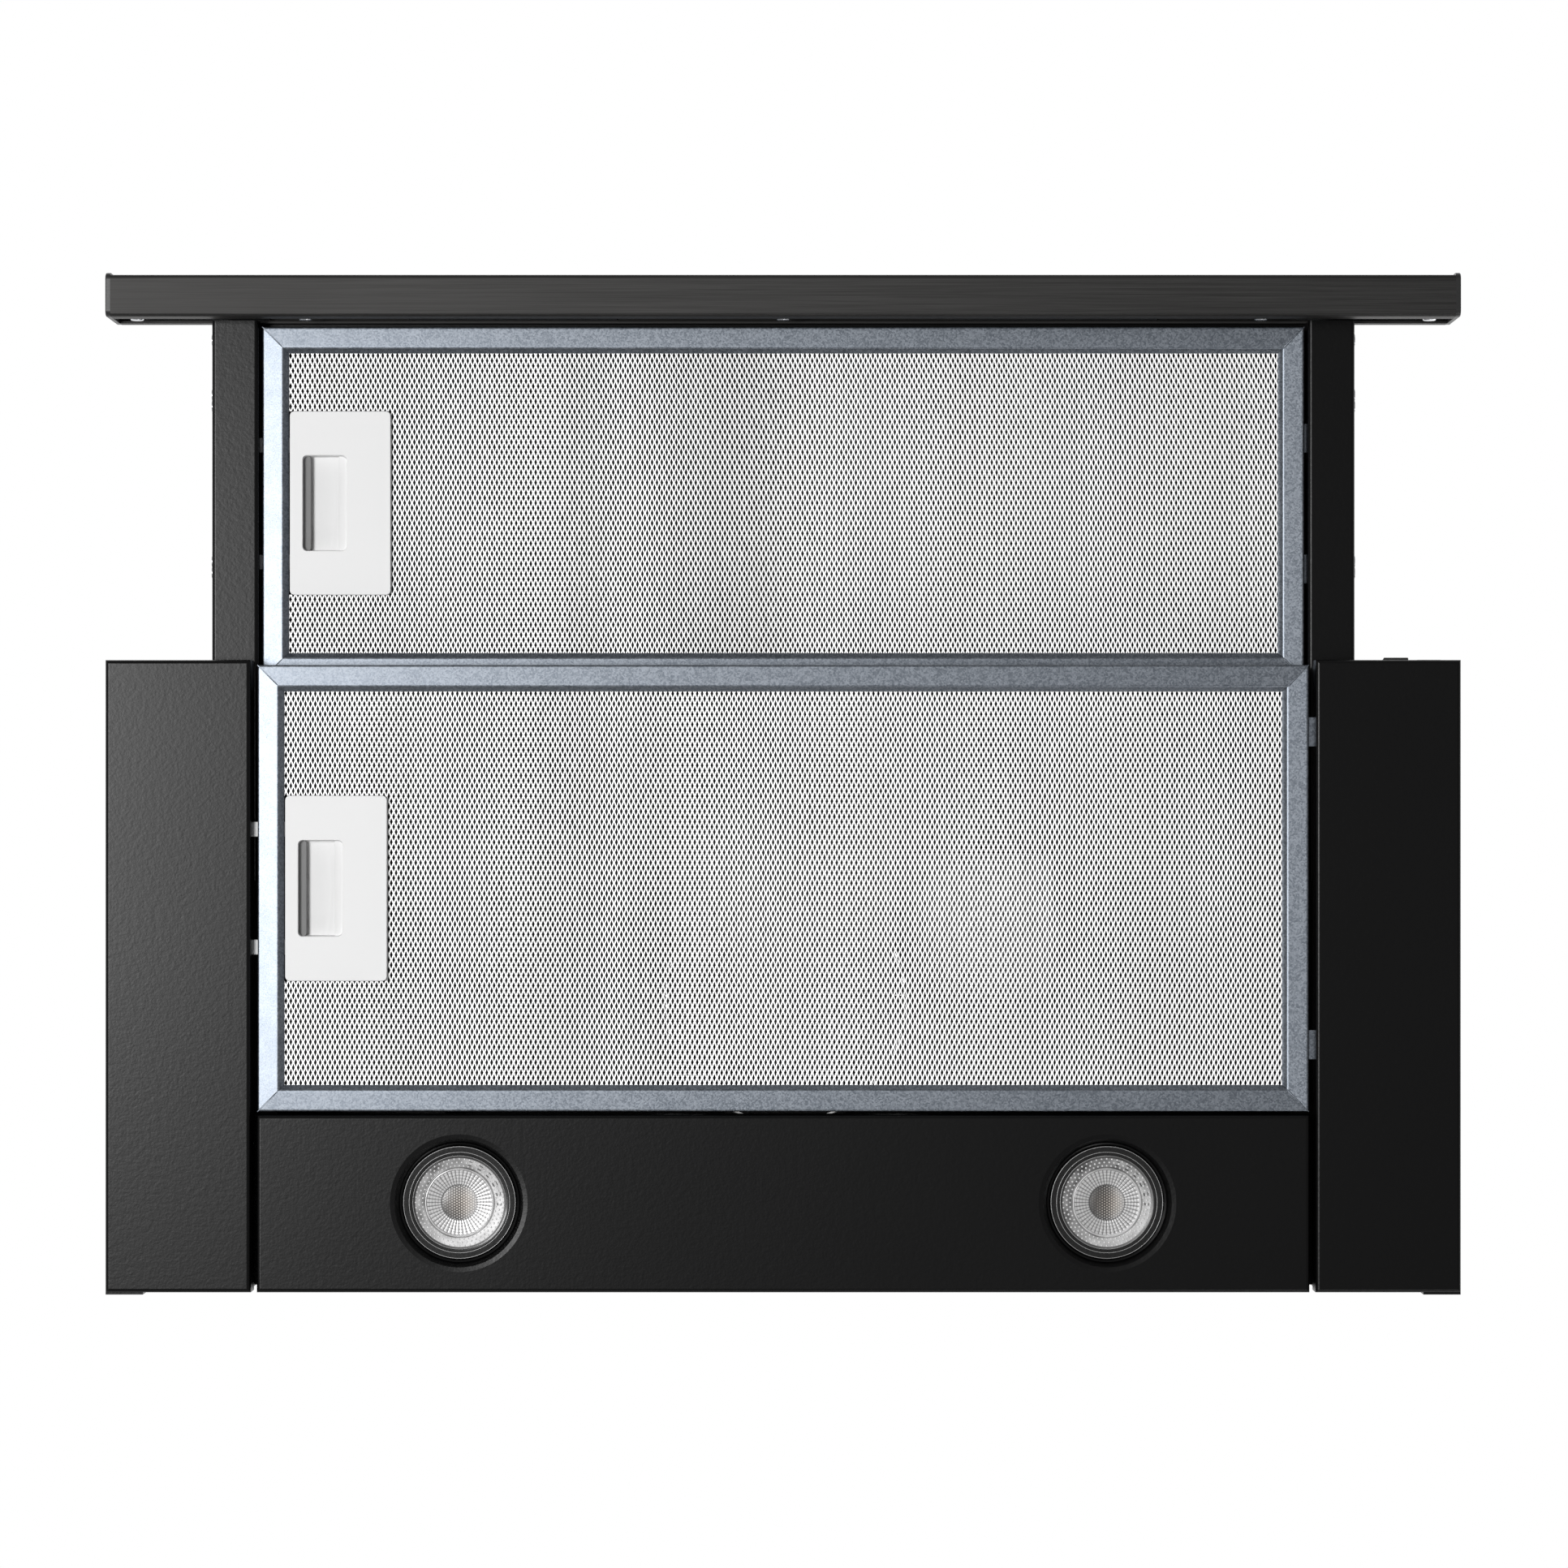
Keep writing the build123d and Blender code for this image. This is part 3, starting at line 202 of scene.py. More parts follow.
def brushed_black():
    """Black stainless steel, brushed along the bar."""
    finish = Finish("black_brushed_steel", Metallic=1.0)
    fine = finish.noise(1.0, (22.0, 5200.0, 5200.0), 3.0, 0.7)
    broad = finish.noise(1.0, (9.0, 900.0, 900.0), 2.0, 0.6)
    cloud = finish.noise(12.0)
    line = (0.65 * fine + 0.35 * broad).between(0.3, 0.72)
    finish.drive("Base Color", line.blend(rgb(0.027, 0.0265, 0.026), rgb(0.062, 0.061, 0.06)))
    finish.drive("Roughness", 0.45 + 0.14 * line + 0.08 * cloud)
    finish.bump(fine, 0.02 * mm, 0.5)
    return finish.material


def galvanised():
    """Zinc-coated sheet with small blue-grey crystals."""
    finish = Finish("galvanised_steel", Metallic=1.0)
    crystals = finish.cells(1500.0)
    fine = finish.noise(1700.0)
    broad = finish.noise(90.0)
    tone = (0.45 * crystals + 0.4 * fine + 0.25 * broad).between(0.25, 0.85)
    finish.drive("Base Color", tone.blend(rgb(0.125, 0.141, 0.164), rgb(0.224, 0.245, 0.275)))
    finish.drive("Roughness", 0.36 + 0.1 * crystals)
    finish.bump(0.6 * crystals + 0.4 * fine, 0.03 * mm, 0.6)
    return finish.material


def plain_galvanised():
    """The inner sheet parts' zinc coating, with less of a pattern."""
    finish = Finish("zinc_sheet", Metallic=1.0)
    fine = finish.noise(800.0)
    broad = finish.noise(60.0)
    tone = (0.5 * fine + 0.5 * broad).between(0.3, 0.7)
    finish.drive("Base Color", tone.blend(rgb(0.42, 0.44, 0.46), rgb(0.6, 0.62, 0.64)))
    finish.drive("Roughness", 0.38 + 0.16 * fine)
    return finish.material


def mesh_metal(name, low, high, shade_bands):
    """Bright aluminium strands, with painted shade in broad soft bands across the filter.

    Each band is (middle, half width, depth): where it lies along X, and how dark it is.
    """
    finish = Finish(name, Metallic=0.65)
    x = finish.x()
    grain = finish.noise(700.0)
    sway = finish.noise(1.0, (60.0, 3.0, 3.0))
    tone = 0.82 + 0.18 * sway
    # Each band darkens the strands' colour: painted shade.
    for middle, half, depth in shade_bands:
        away = finish.base.maths("ABSOLUTE", x - middle)
        tone = tone - (1 - away.between(0.35 * half, half)) * depth
    tone = (tone - 0.1 * grain).clip()
    finish.drive("Base Color", tone.blend(grey(low), grey(high)))
    finish.drive("Roughness", 0.52 + 0.08 * grain)
    return finish.material


def plated_zinc():
    """Bright zinc plating on screws and rivets."""
    finish = Finish("zinc_steel", Metallic=1.0)
    grain = finish.noise(1500.0)
    finish.drive("Base Color", grain.blend(rgb(0.55, 0.56, 0.58), rgb(0.75, 0.76, 0.78)))
    finish.drive("Roughness", 0.2 + 0.15 * grain)
    return finish.material


def moulding(name, dark, light, rough):
    """A moulded plastic with a fine spark-eroded grain."""
    finish = Finish(name)
    grain = finish.noise(1400.0)
    cloud = finish.noise(25.0)
    finish.drive("Base Color", (0.4 * grain + 0.6 * cloud).blend(dark, light))
    finish.drive("Roughness", rough + 0.12 * grain)
    finish.bump(grain, 0.02 * mm, 0.6)
    return finish.material


def lamp_optic_plastic():
    """The lamp's clear optic over its bright reflector, coloured by the painted light and shade
    that its points carry: painted glare, and painted shade in the grooves.
    """
    finish = Finish("lamp_glass", Metallic=0.35, Coat_Weight=0.35, Coat_Roughness=0.2)
    shade = finish.painted("shade")
    warm = finish.painted("warm")
    fleck = finish.noise(1300.0)
    tone = (shade * (0.8 + 0.4 * fleck)).clip()
    clear = tone.blend(grey(0.012), rgb(0.93, 0.94, 0.96))
    amber = tone.blend(rgb(0.02, 0.014, 0.01), rgb(1.0, 0.88, 0.76))
    finish.drive("Base Color", warm.blend(clear, amber))
    finish.drive("Roughness", 0.3 + 0.15 * fleck)
    return finish.material


def lamp_collar_plastic():
    """The dark ring round the optic, seen through clear plastic."""
    finish = Finish("lamp_collar", Specular_IOR_Level=0.25, Coat_Weight=0.3, Coat_Roughness=0.06)
    fleck = finish.noise(900.0)
    finish.drive("Base Color", fleck.blend(grey(0.002), grey(0.018)))
    finish.drive("Roughness", 0.16 + 0.14 * fleck)
    return finish.material


def lamp_edge_plastic():
    """The polished edges of the lamp's front."""
    finish = Finish("lamp_edge", Metallic=0.6)
    fleck = finish.noise(900.0)
    finish.drive("Base Color", fleck.blend(grey(0.46), grey(0.54)))
    finish.drive("Roughness", 0.42 + 0.06 * fleck)
    return finish.material


# Painted shade on each filter's mesh: broad darker bands across its near sheet.
front_painted_shade = (
    (-28 * mm, 44 * mm, 0.24),
    (-88 * mm, 16 * mm, 0.16),
    (-185 * mm, 46 * mm, 0.14),
)
rear_painted_shade = (
    (-95 * mm, 24 * mm, 0.14),
    (-60 * mm, 14 * mm, 0.1),
    (-172 * mm, 14 * mm, 0.12),
)
# The far sheet's painted shade, darkest towards the left.
far_painted_shade = ((-230 * mm, 420 * mm, 0.9),)
materials = {
    "black_powder_coat": powder_coat(),
    "black_brushed_steel": brushed_black(),
    "galvanised_steel": galvanised(),
    "zinc_sheet": plain_galvanised(),
    "zinc_steel": plated_zinc(),
    "expanded_aluminium": mesh_metal("inner_mesh", 0.2, 0.5, ()),
    "grey_plastic": moulding("grey_plastic", grey(0.92), grey(0.97), 0.5),
    "slider_plastic": moulding("slider_plastic", grey(0.8), grey(0.85), 0.5),
    # Dark grey plastic, for painted shade in the latch pockets.
    "painted_shade_plastic": moulding("painted_shade_plastic", grey(0.17), grey(0.24), 0.55),
    "black_plastic": moulding("black_plastic", grey(0.008), grey(0.02), 0.34),
    "lamp_glass": lamp_optic_plastic(),
    "lamp_body": moulding("lamp_body", grey(0.62), grey(0.72), 0.25),
    "lamp_collar": lamp_collar_plastic(),
    "lamp_edge": lamp_edge_plastic(),
    "lamp_dots": moulding("lamp_dots", grey(0.8), grey(0.95), 0.12),
    "ceramic": moulding("ceramic", rgb(0.78, 0.76, 0.71), rgb(0.86, 0.85, 0.81), 0.22),
    "motor_metal": moulding("motor_metal", grey(0.35), grey(0.45), 0.35),
    "grey_moulding": moulding("grey_moulding", grey(0.09), grey(0.13), 0.4),
}
plain_sheets = ("guide_left", "guide_right", "tray_front_plate")


# Making pieces


def add_piece(name, mesh, body, material, stands_for=()):
    """Puts a mesh in the scene as a piece that rides on a body."""
    piece = bpy.data.objects.new(name, mesh)
    bpy.context.scene.collection.objects.link(piece)
    mesh.materials.append(materials[material])
    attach(piece, body)
    if stands_for:
        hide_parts(*stands_for)


def solid(name, points, faces, smooth_angle=35.0):
    """A mesh from points and faces, smooth over its shallow edges."""
    mesh = bpy.data.meshes.new(name)
    mesh.from_pydata([tuple(point) for point in points], [], [tuple(face) for face in faces])
    mesh.update()
    mesh.shade_smooth()
    mesh.set_sharp_from_angle(angle=math.radians(smooth_angle))
    return mesh


def joined(name, meshes, smooth_angle=35.0):
    """Several (points, faces) pairs as one mesh."""
    points, faces = [], []
    for some_points, some_faces in meshes:
        start = len(points)
        points += [tuple(point) for point in some_points]
        faces += [tuple(start + index for index in face) for face in some_faces]
    return solid(name, points, faces, smooth_angle)


def ring_faces(rings, count, closed=False):
    """Quads between each ring of points and the next, and back to the first if closed."""
    faces = []
    for ring in range(rings if closed else rings - 1):
        here, there = ring * count, (ring + 1) % rings * count
        for step in range(count):
            after = (step + 1) % count
            faces.append((here + step, here + after, there + after, there + step))
    return faces


def end_faces(total, count):
    """The faces on the first and on the last ring, of this many points each."""
    return [tuple(reversed(range(count))), tuple(range(total - count, total))]


def turned(profile, centre, steps=96, closed=True):
    """Points and faces of a shape turned about Z from (radius, height) pairs."""
    cx, cy, cz = centre
    points = []
    for radius, height in profile:
        for step in range(steps):
            angle = 2 * math.pi * step / steps
            x, y = cx + radius * math.cos(angle), cy + radius * math.sin(angle)
            points.append((x, y, cz + height))
    return points, ring_faces(len(profile), steps, closed)


def bead(radius, thickness, centre, steps):
    """A thin round ring."""
    sides = 8
    profile = []
    for side in range(sides):
        angle = 2 * math.pi * side / sides
        profile.append((radius + thickness * math.cos(angle), thickness * math.sin(angle)))
    return turned(profile, centre, steps)


def rounded_loop(x0, x1, y0, y1, corner):
    """The outline of a rectangle with rounded corners, as (x, y) pairs."""
    points = []
    quarter = 6
    for cx, cy, start in (
        (x1 - corner, y1 - corner, 0),
        (x0 + corner, y1 - corner, 90),
        (x0 + corner, y0 + corner, 180),
        (x1 - corner, y0 + corner, 270),
    ):
        for step in range(quarter + 1):
            angle = math.radians(start + 90 * step / quarter)
            points.append((cx + corner * math.cos(angle), cy + corner * math.sin(angle)))
    return points


def stacked_loops(loops):
    """A closed shape that goes through (loop, height) pairs of as many points each."""
    count = len(loops[0][0])
    points = [(x, y, height) for loop, height in loops for x, y in loop]
    return points, ring_faces(len(loops), count) + end_faces(len(points), count)


def outline_solid(loops, low, high, rounding):
    """Points and faces of a flat shape with holes between two heights, its edges rounded.

    Each loop is (x0, x1, y0, y1, corner radius); the first is the outside.
    """
    curve = bpy.data.curves.new("outline", "CURVE")
    curve.dimensions = "2D"
    curve.fill_mode = "BOTH"
    curve.bevel_depth = rounding
    curve.bevel_resolution = 3
    curve.offset = -rounding
    curve.extrude = (high - low) / 2 - rounding
    for loop in loops:
        corners = rounded_loop(*loop)
        spline = curve.splines.new("POLY")
        spline.points.add(len(corners) - 1)
        for point, (x, y) in zip(spline.points, corners):
            point.co = (x, y, 0, 1)
        spline.use_cyclic_u = True
    holder = bpy.data.objects.new("outline", curve)
    bpy.context.scene.collection.objects.link(holder)
    bpy.context.view_layer.update()
    mesh = bpy.data.meshes.new_from_object(holder)
    middle = (low + high) / 2
    points = [(v.co.x, v.co.y, v.co.z + middle) for v in mesh.vertices]
    faces = [tuple(face.vertices) for face in mesh.polygons]
    bpy.data.objects.remove(holder)
    bpy.data.curves.remove(curve)
    bpy.data.meshes.remove(mesh)
    return points, faces


# Filters

frame_wall = 0.6 * mm
face_edge = 8.7 * mm
face_leans = (0.1 * mm, -0.72 * mm, 0.1 * mm, 0.8 * mm)
face_support = 0.35 * mm
bead_edge = 10.1 * mm
bead_rise = 1.1 * mm
bead_turn = 55
bead_clearance = 0.5 * mm
step_edge = 11.7 * mm
step_rise = 2.1 * mm
outer_round = 0.9 * mm
fold_steps = 5
mitre_gap = 0.08 * mm
mitre_edge = 0.28 * mm
mitre_start = 0.45 * outer_round
mitre_knee = 0.09
mitre_knee_rise = 0.15 * mm
mitre_face_rise = 0.1 * mm
tongue_half = 6.4 * mm


def frame_profile(height, face_lean):
    """The folded frame's section as (distance in from its edge, height) pairs.

    The lean is how far its face rises towards the outer edge, or towards the mesh if negative.
    Two more points near the face's ends keep its smooth shading flat.
    """
    inner_rise = max(-face_lean, 0)
    outer_rise = max(face_lean, 0)
    outside = [(0, height), (0, outer_round + outer_rise)]
    for step in range(1, fold_steps + 1):
        angle = math.radians(90 * step / (fold_steps + 1))
        inset = outer_round * (1 - math.cos(angle))
        outside.append((inset, outer_round * (1 - math.sin(angle)) + outer_rise))
    slope = (inner_rise - outer_rise) / (face_edge - outer_round)
    outside += [
        (outer_round, outer_rise),
        (outer_round + face_support, outer_rise + slope * face_support),
        (face_edge - face_support, inner_rise - slope * face_support),
        (face_edge, inner_rise),
    ]
    reach = (bead_edge - face_edge) / math.sin(math.radians(bead_turn))
    for step in range(1, fold_steps + 1):
        angle = math.radians(bead_turn * step / fold_steps)
        inset = face_edge + reach * math.sin(angle)
        outside.append((inset, inner_rise + reach * (1 - math.cos(angle))))
    step_height = max(step_rise, inner_rise + bead_rise + bead_clearance)
    outside.append((step_edge, step_height))
    inside = [
        (step_edge, step_height + frame_wall),
        (bead_edge - frame_wall / 2, inner_rise + bead_rise + frame_wall),
        (face_edge - frame_wall / 2, inner_rise + frame_wall),
        (outer_round, outer_rise + frame_wall),
        (frame_wall, outer_round + outer_rise + frame_wall),
        (frame_wall, height - frame_wall),
        (face_edge, height - frame_wall),
        (face_edge, height),
    ]
    return outside + inside


def frame_side(profile, start, along, inward, low):
    """One length of the frame, from corner to corner, mitred at both ends."""
    way = along.normalized()
    points = []
    for at_end in (False, True):
        for inset, height in profile:
            trim = inset + mitre_gap
            travel = along.length - trim if at_end else trim
            point = start + way * travel + inward * inset
            points.append((point.x, point.y, low + height))
    count = len(profile)
    return points, ring_faces(2, count) + end_faces(2 * count, count)


def mitre_bead(corner, inner, low):
    """The thin raised edge along one mitre, from the frame's outer corner to its inner one."""
    start = Vector((corner.x, corner.y, low + mitre_start))
    end = Vector((inner.x, inner.y, low + bead_rise))
    knee = start.lerp(end, mitre_knee)
    knee.z = low + mitre_knee_rise
    turn = start.lerp(end, face_edge / bead_edge)
    turn.z = low + mitre_face_rise
    way = (end - start).normalized()
    across = Vector((-way.y, way.x, 0)).normalized()
    up = Vector((0, 0, 1))
    sides = 6
    points = []
    for station in (start, knee, turn, end):
        for side in range(sides):
            angle = 2 * math.pi * side / sides
            reach = across * math.cos(angle) + up * math.sin(angle)
            points.append(tuple(station + reach * mitre_edge))
    return points, ring_faces(len(points) // sides, sides) + end_faces(len(points), sides)


def filter_box(name):
    """A filter frame's x0, x1, y0, y1, low and high, without the tongues on its right side."""
    low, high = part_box(name)
    return low.x, -low.x, low.y, high.y, low.z, high.z


def round_nosed(x0, x1, y0, y1, z, radius):
    """A flat tongue with a rounded nose at its far end."""
    nose_steps = 8
    section = [(x0, z + radius), (x0, z - radius)]
    for step in range(nose_steps + 1):
        angle = math.radians(-90 + 180 * step / nose_steps)
        section.append((x1 + radius * math.cos(angle), z + radius * math.sin(angle)))
    points = [(x, y, height) for y in (y0, y1) for x, height in section]
    count = len(section)
    return points, ring_faces(2, count) + end_faces(2 * count, count)


def filter_frame(filter_name, body, tongue_offset, tongue_radius, tongue_rise):
    """The folded galvanised frame, with two tongues on the right, either side of its middle."""
    node = filter_name + "_filter_frame"
    x0, x1, y0, y1, low, high = filter_box(node)
    corners = [Vector((x0, y0)), Vector((x1, y0)), Vector((x1, y1)), Vector((x0, y1))]
    inwards = [Vector((0, 1)), Vector((-1, 0)), Vector((0, -1)), Vector((1, 0))]
    meshes = []
    for side in range(4):
        along = corners[(side + 1) % 4] - corners[side]
        profile = frame_profile(high - low, face_leans[side])
        meshes.append(frame_side(profile, corners[side], along, inwards[side], low))
        inner = corners[side] + (inwards[side] + inwards[side - 1]) * bead_edge
        meshes.append(mitre_bead(corners[side], inner, low))
    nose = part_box(node)[1].x - tongue_radius
    middle = (y0 + y1) / 2
    for y in (middle - tongue_offset, middle + tongue_offset):
        front, back = y - tongue_half, y + tongue_half
        tongue = round_nosed(x1 - frame_wall, nose, front, back, low + tongue_rise, tongue_radius)
        meshes.append(tongue)
    name = node + "_folded"
    add_piece(name, joined(name, meshes), body, "galvanised_steel", (node,))


# Values in pairs change from the sheet's left side to its right side.
pitch_x = 2.17 * mm
row_pitch = 2.27 * mm
hole_half_width = (0.66 * mm, 0.6 * mm)
hole_half_length = 1.82 * mm
hole_spread = 0.03
strand_thickness = 0.22 * mm
strand_lean = (0.08 * mm, 0.2 * mm)
slow_waves = 41.0
quick_waves = 97.0
quick_wave_turn = 9.0
flat_map_shift = (0.4, 0.3)


def expanded_sheet(name, sides, height, turned_over, room, wave):
    """The meshes of an expanded metal sheet: diamond holes in staggered rows, leaning strands.

    The sides are (x0, x1, y0, y1), and so is the room, in which no hole lies. The wave bends the
    sheet a little. The strands lean one way where turned_over is 1, the other way where it is -1.
    """
    x0, x1, y0, y1 = sides
    columns = int((x1 - x0) / pitch_x)
    rows = int((y1 - y0) / row_pitch)
    column, row = np.meshgrid(np.arange(columns), np.arange(rows))
    shift = 0.5 * (row % 2)
    cx = x0 + (column + 0.5 + shift) * pitch_x
    cy = y0 + (row + 0.5) * row_pitch
    across_share = np.clip((cx - x0) / (x1 - x0), 0, 1)
    wide = np.interp(across_share, (0, 1), hole_half_width)
    wide = wide * (1 + hole_spread * draws.standard_normal(cx.shape))
    long = hole_half_length * (1 + hole_spread * draws.standard_normal(cx.shape))
    lean = turned_over * np.interp(across_share, (0, 1), strand_lean)
    waves = np.sin(cx * slow_waves + 0.6) + 0.6 * np.sin(cx * quick_waves + cy * quick_wave_turn)
    level = height + wave * waves
    ends = [(-wide, 0, -lean), (0, long, 0), (wide, 0, lean), (0, -long, 0)]
    corners = [np.stack([cx + dx, cy + dy, level + dz], axis=-1) for dx, dy, dz in ends]
    points = np.stack(corners, axis=2).reshape(-1, 3)
    there = ~((cx > room[0]) & (cx < room[1]) & (cy > room[2]) & (cy < room[3]))
    index = 4 * (row * columns + column)

    def neighbour(across, up):
        """Each hole's neighbour, and whether it exists."""
        c, r = column + across, row + up
        inside = (c >= 0) & (c < columns) & (r >= 0) & (r < rows)
        c, r = np.clip(c, 0, columns - 1), np.clip(r, 0, rows - 1)
        return index[r, c], inside & there[r, c]

    odd = row % 2
    back_right, has_back_right = neighbour(odd, 1)
    back_left, has_back_left = neighbour(odd - 1, 1)
    right, has_right = neighbour(1, 0)
    front_right, has_front_right = neighbour(odd, -1)
    strand_right = np.stack([index + 1, back_right, back_right + 3, index + 2], axis=-1)
    strand_left = np.stack([index + 1, index, back_left + 3, back_left + 2], axis=-1)
    bond = np.stack([index + 2, back_right + 3, right, front_right + 1], axis=-1)
    quads = (
        (strand_right, has_back_right),
        (strand_left, has_back_left),
        (bond, has_back_right & has_right & has_front_right),
    )
    meshes = []
    for part in range(mesh_parts):
        first, last = columns * part // mesh_parts, columns * (part + 1) // mesh_parts
        mine = there & (column >= first) & (column < last)
        lower = np.concatenate([quad[mine & has] for quad, has in quads])
        meshes.append(thick_sheet(f"{name}_{part + 1}", points, lower))
    return meshes


def thick_sheet(name, points, lower):
    """A closed mesh from the quads of its lower side, with a flat map for baking."""
    used, lower = np.unique(lower, return_inverse=True)
    lower = lower.reshape(-1, 4)
    points = points[used]
    count = len(points)
    edges = np.stack([lower, np.roll(lower, -1, axis=1)], axis=-1).reshape(-1, 2)
    forward = edges[:, 0] * count + edges[:, 1]
    backward = edges[:, 1] * count + edges[:, 0]
    rim = edges[~np.isin(forward, backward)]
    walls = np.stack([rim[:, 1], rim[:, 0], rim[:, 0] + count, rim[:, 1] + count], axis=-1)
    quads = np.concatenate([lower, lower[:, ::-1] + count, walls])
    all_points = np.concatenate([points, points + (0, 0, strand_thickness)])
    mesh = bpy.data.meshes.new(name)
    mesh.vertices.add(len(all_points))
    mesh.vertices.foreach_set("co", all_points.ravel())
    mesh.loops.add(quads.size)
    mesh.loops.foreach_set("vertex_index", quads.ravel())
    mesh.polygons.add(len(quads))
    mesh.polygons.foreach_set("loop_start", np.arange(0, quads.size, 4))
    mesh.update(calc_edges=True)
    mesh.validate()
    mesh.shade_flat()
    corners = all_points[quads.ravel()]
    flat = corners[:, :2] + corners[:, 2:] * flat_map_shift
    flat = (flat - flat.min(axis=0)) / (flat.max(axis=0) - flat.min(axis=0))
    mesh.uv_layers.new(name="OFBake")
    mesh.uv_layers["OFBake"].data.foreach_set("uv", flat.ravel())
    return mesh


mesh_hidden = 7.0 * mm
mesh_under_plate = 0.8 * mm
near_mesh_height = 2.75 * mm
near_mesh_wave = 0.12 * mm
far_mesh_height = 7.7 * mm
far_mesh_wave = 0.1 * mm
far_mesh_shift = 0.45 * mm
mesh_parts = 2


def filter_mesh(filter_name, body, shade_bands):
    """The near and the far sheet of a filter's mesh, each in parts side by side."""
    node = filter_name + "_filter_mesh"
    x0, x1, y0, y1, low, high = filter_box(filter_name + "_filter_frame")
    plate_low, plate_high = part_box(filter_name + "_latch_plate")
    wall = mesh_under_plate
    room = (x0, plate_high.x - wall, plate_low.y + wall, plate_high.y - wall)
    near, far = filter_name + "_near_mesh", filter_name + "_far_mesh"
    materials[near] = mesh_metal(near, 0.3, 0.88, shade_bands)
    # The far sheet is coloured much darker than the near one: painted shade.
    materials[far] = mesh_metal(far, 0.015, 0.3, far_painted_shade)
    for name, height, turned_over, wave, shift in (
        (near, near_mesh_height, 1, near_mesh_wave, 0),
        (far, far_mesh_height, -1, far_mesh_wave, far_mesh_shift),
    ):
        left, right = x0 + mesh_hidden + shift, x1 - mesh_hidden + shift
        sides = (left, right, y0 + mesh_hidden, y1 - mesh_hidden)
        for mesh in expanded_sheet(name, sides, low + height, turned_over, room, wave):
            add_piece(mesh.name, mesh, body, name, (node,))


# Latches

plate_face = 1.8 * mm
plate_wall = 1.5 * mm
plate_overlap = 0.7 * mm
plate_corner = 2.0 * mm
plate_edge_round = 0.25 * mm
wall_inset = 0.1 * mm
wall_join = 0.3 * mm
wall_edge_round = 0.1 * mm
recess_margin = 5.0 * mm
recess_width = 19.6 * mm
recess_length = 42.7 * mm
moulded_angle = 40.0


def drawn_in(low, high, inset, corner):
    """A box's outline drawn in on all sides, with rounded corners."""
    return (low.x + inset, high.x - inset, low.y + inset, high.y - inset, corner)


def latch_plate(filter_name, body):
    """The moulded latch plate: a face with the finger opening on a low wall."""
    node = filter_name + "_latch_plate"
    low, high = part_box(node)
    middle = (low.y + high.y) / 2
    half = recess_length / 2
    left = low.x + recess_margin
    outside = (low.x - plate_overlap, high.x, low.y, high.y, plate_corner)
    opening = (left, left + recess_width, middle - half, middle + half, plate_corner)
    face = outline_solid([outside, opening], low.z, low.z + plate_face, plate_edge_round)
    wall_loops = [
        drawn_in(low, high, wall_inset, plate_corner),
        drawn_in(low, high, plate_wall, plate_corner / 2),
    ]
    wall_start = low.z + plate_face - wall_join
    wall = outline_solid(wall_loops, wall_start, high.z, wall_edge_round)
    name = node + "_moulded"
    mesh = joined(name, [face, wall], moulded_angle)
    add_piece(name, mesh, body, "grey_plastic", (node,))


slider_sink = 0.3 * mm
slider_gap = 0.7 * mm
slider_back_gap = 0.4 * mm
slider_margin = 1.2 * mm
slider_reach = 3.2 * mm
pocket_gap = 0.1 * mm
pocket_taper = 0.4 * mm
pocket_levels = (0, 0.08, 0.9, 1)
scoop_floor = 7.0 * mm
scoop_edge = 11.8 * mm
scoop_bow = 2.3 * mm
ledge_rise = 0.5 * mm
ledge_lip = 0.12 * mm
ledge_gap = 0.2 * mm
floor_overlap = 0.1 * mm
shade_block_width = 3.5 * mm
shade_block_sink = 1.0 * mm
shade_block_overlap = 0.3 * mm
shade_block_corner = 1.4 * mm
shade_block_edge = 0.2 * mm
bolt_height = 4.5 * mm
bolt_thickness = 1.5 * mm
bolt_width = 6.6 * mm
bolt_offset = 26.15 * mm
bolt_corner = 1.2 * mm
bolt_edge_round = 0.3 * mm
arm_width = 6.0 * mm
arm_corner = 1.0 * mm
arm_edge_round = 0.2 * mm


def finger_ledge(x0, x1, y0, y1, low, high):
    """A block whose left side is hollowed in a shallow arc, with a small lip there."""
    steps = 20
    left, right = [], []
    for step in range(steps + 1):
        share = 2 * step / steps - 1
        y = y0 + (y1 - y0) * step / steps
        left.append((x0 + scoop_bow * (1 - share * share), y))
        right.append((x1, y))
    points = []
    for height_left, height_right in ((low, low + ledge_lip), (high, high)):
        points += [(x, y, height_left) for x, y in left]
        points += [(x, y, height_right) for x, y in right]
    count = steps + 1
    faces = []
    for step in range(steps):
        a, b = step, step + 1
        faces.append((a, b, b + count, a + count))
        faces.append((a + 2 * count, a + 3 * count, b + 3 * count, b + 2 * count))
        faces.append((a, a + 2 * count, b + 2 * count, b))
        faces.append((a + count, b + count, b + 3 * count, a + 3 * count))
    faces.append((0, count, 3 * count, 2 * count))
    faces.append((steps, steps + 2 * count, steps + 3 * count, steps + count))
    return points, faces


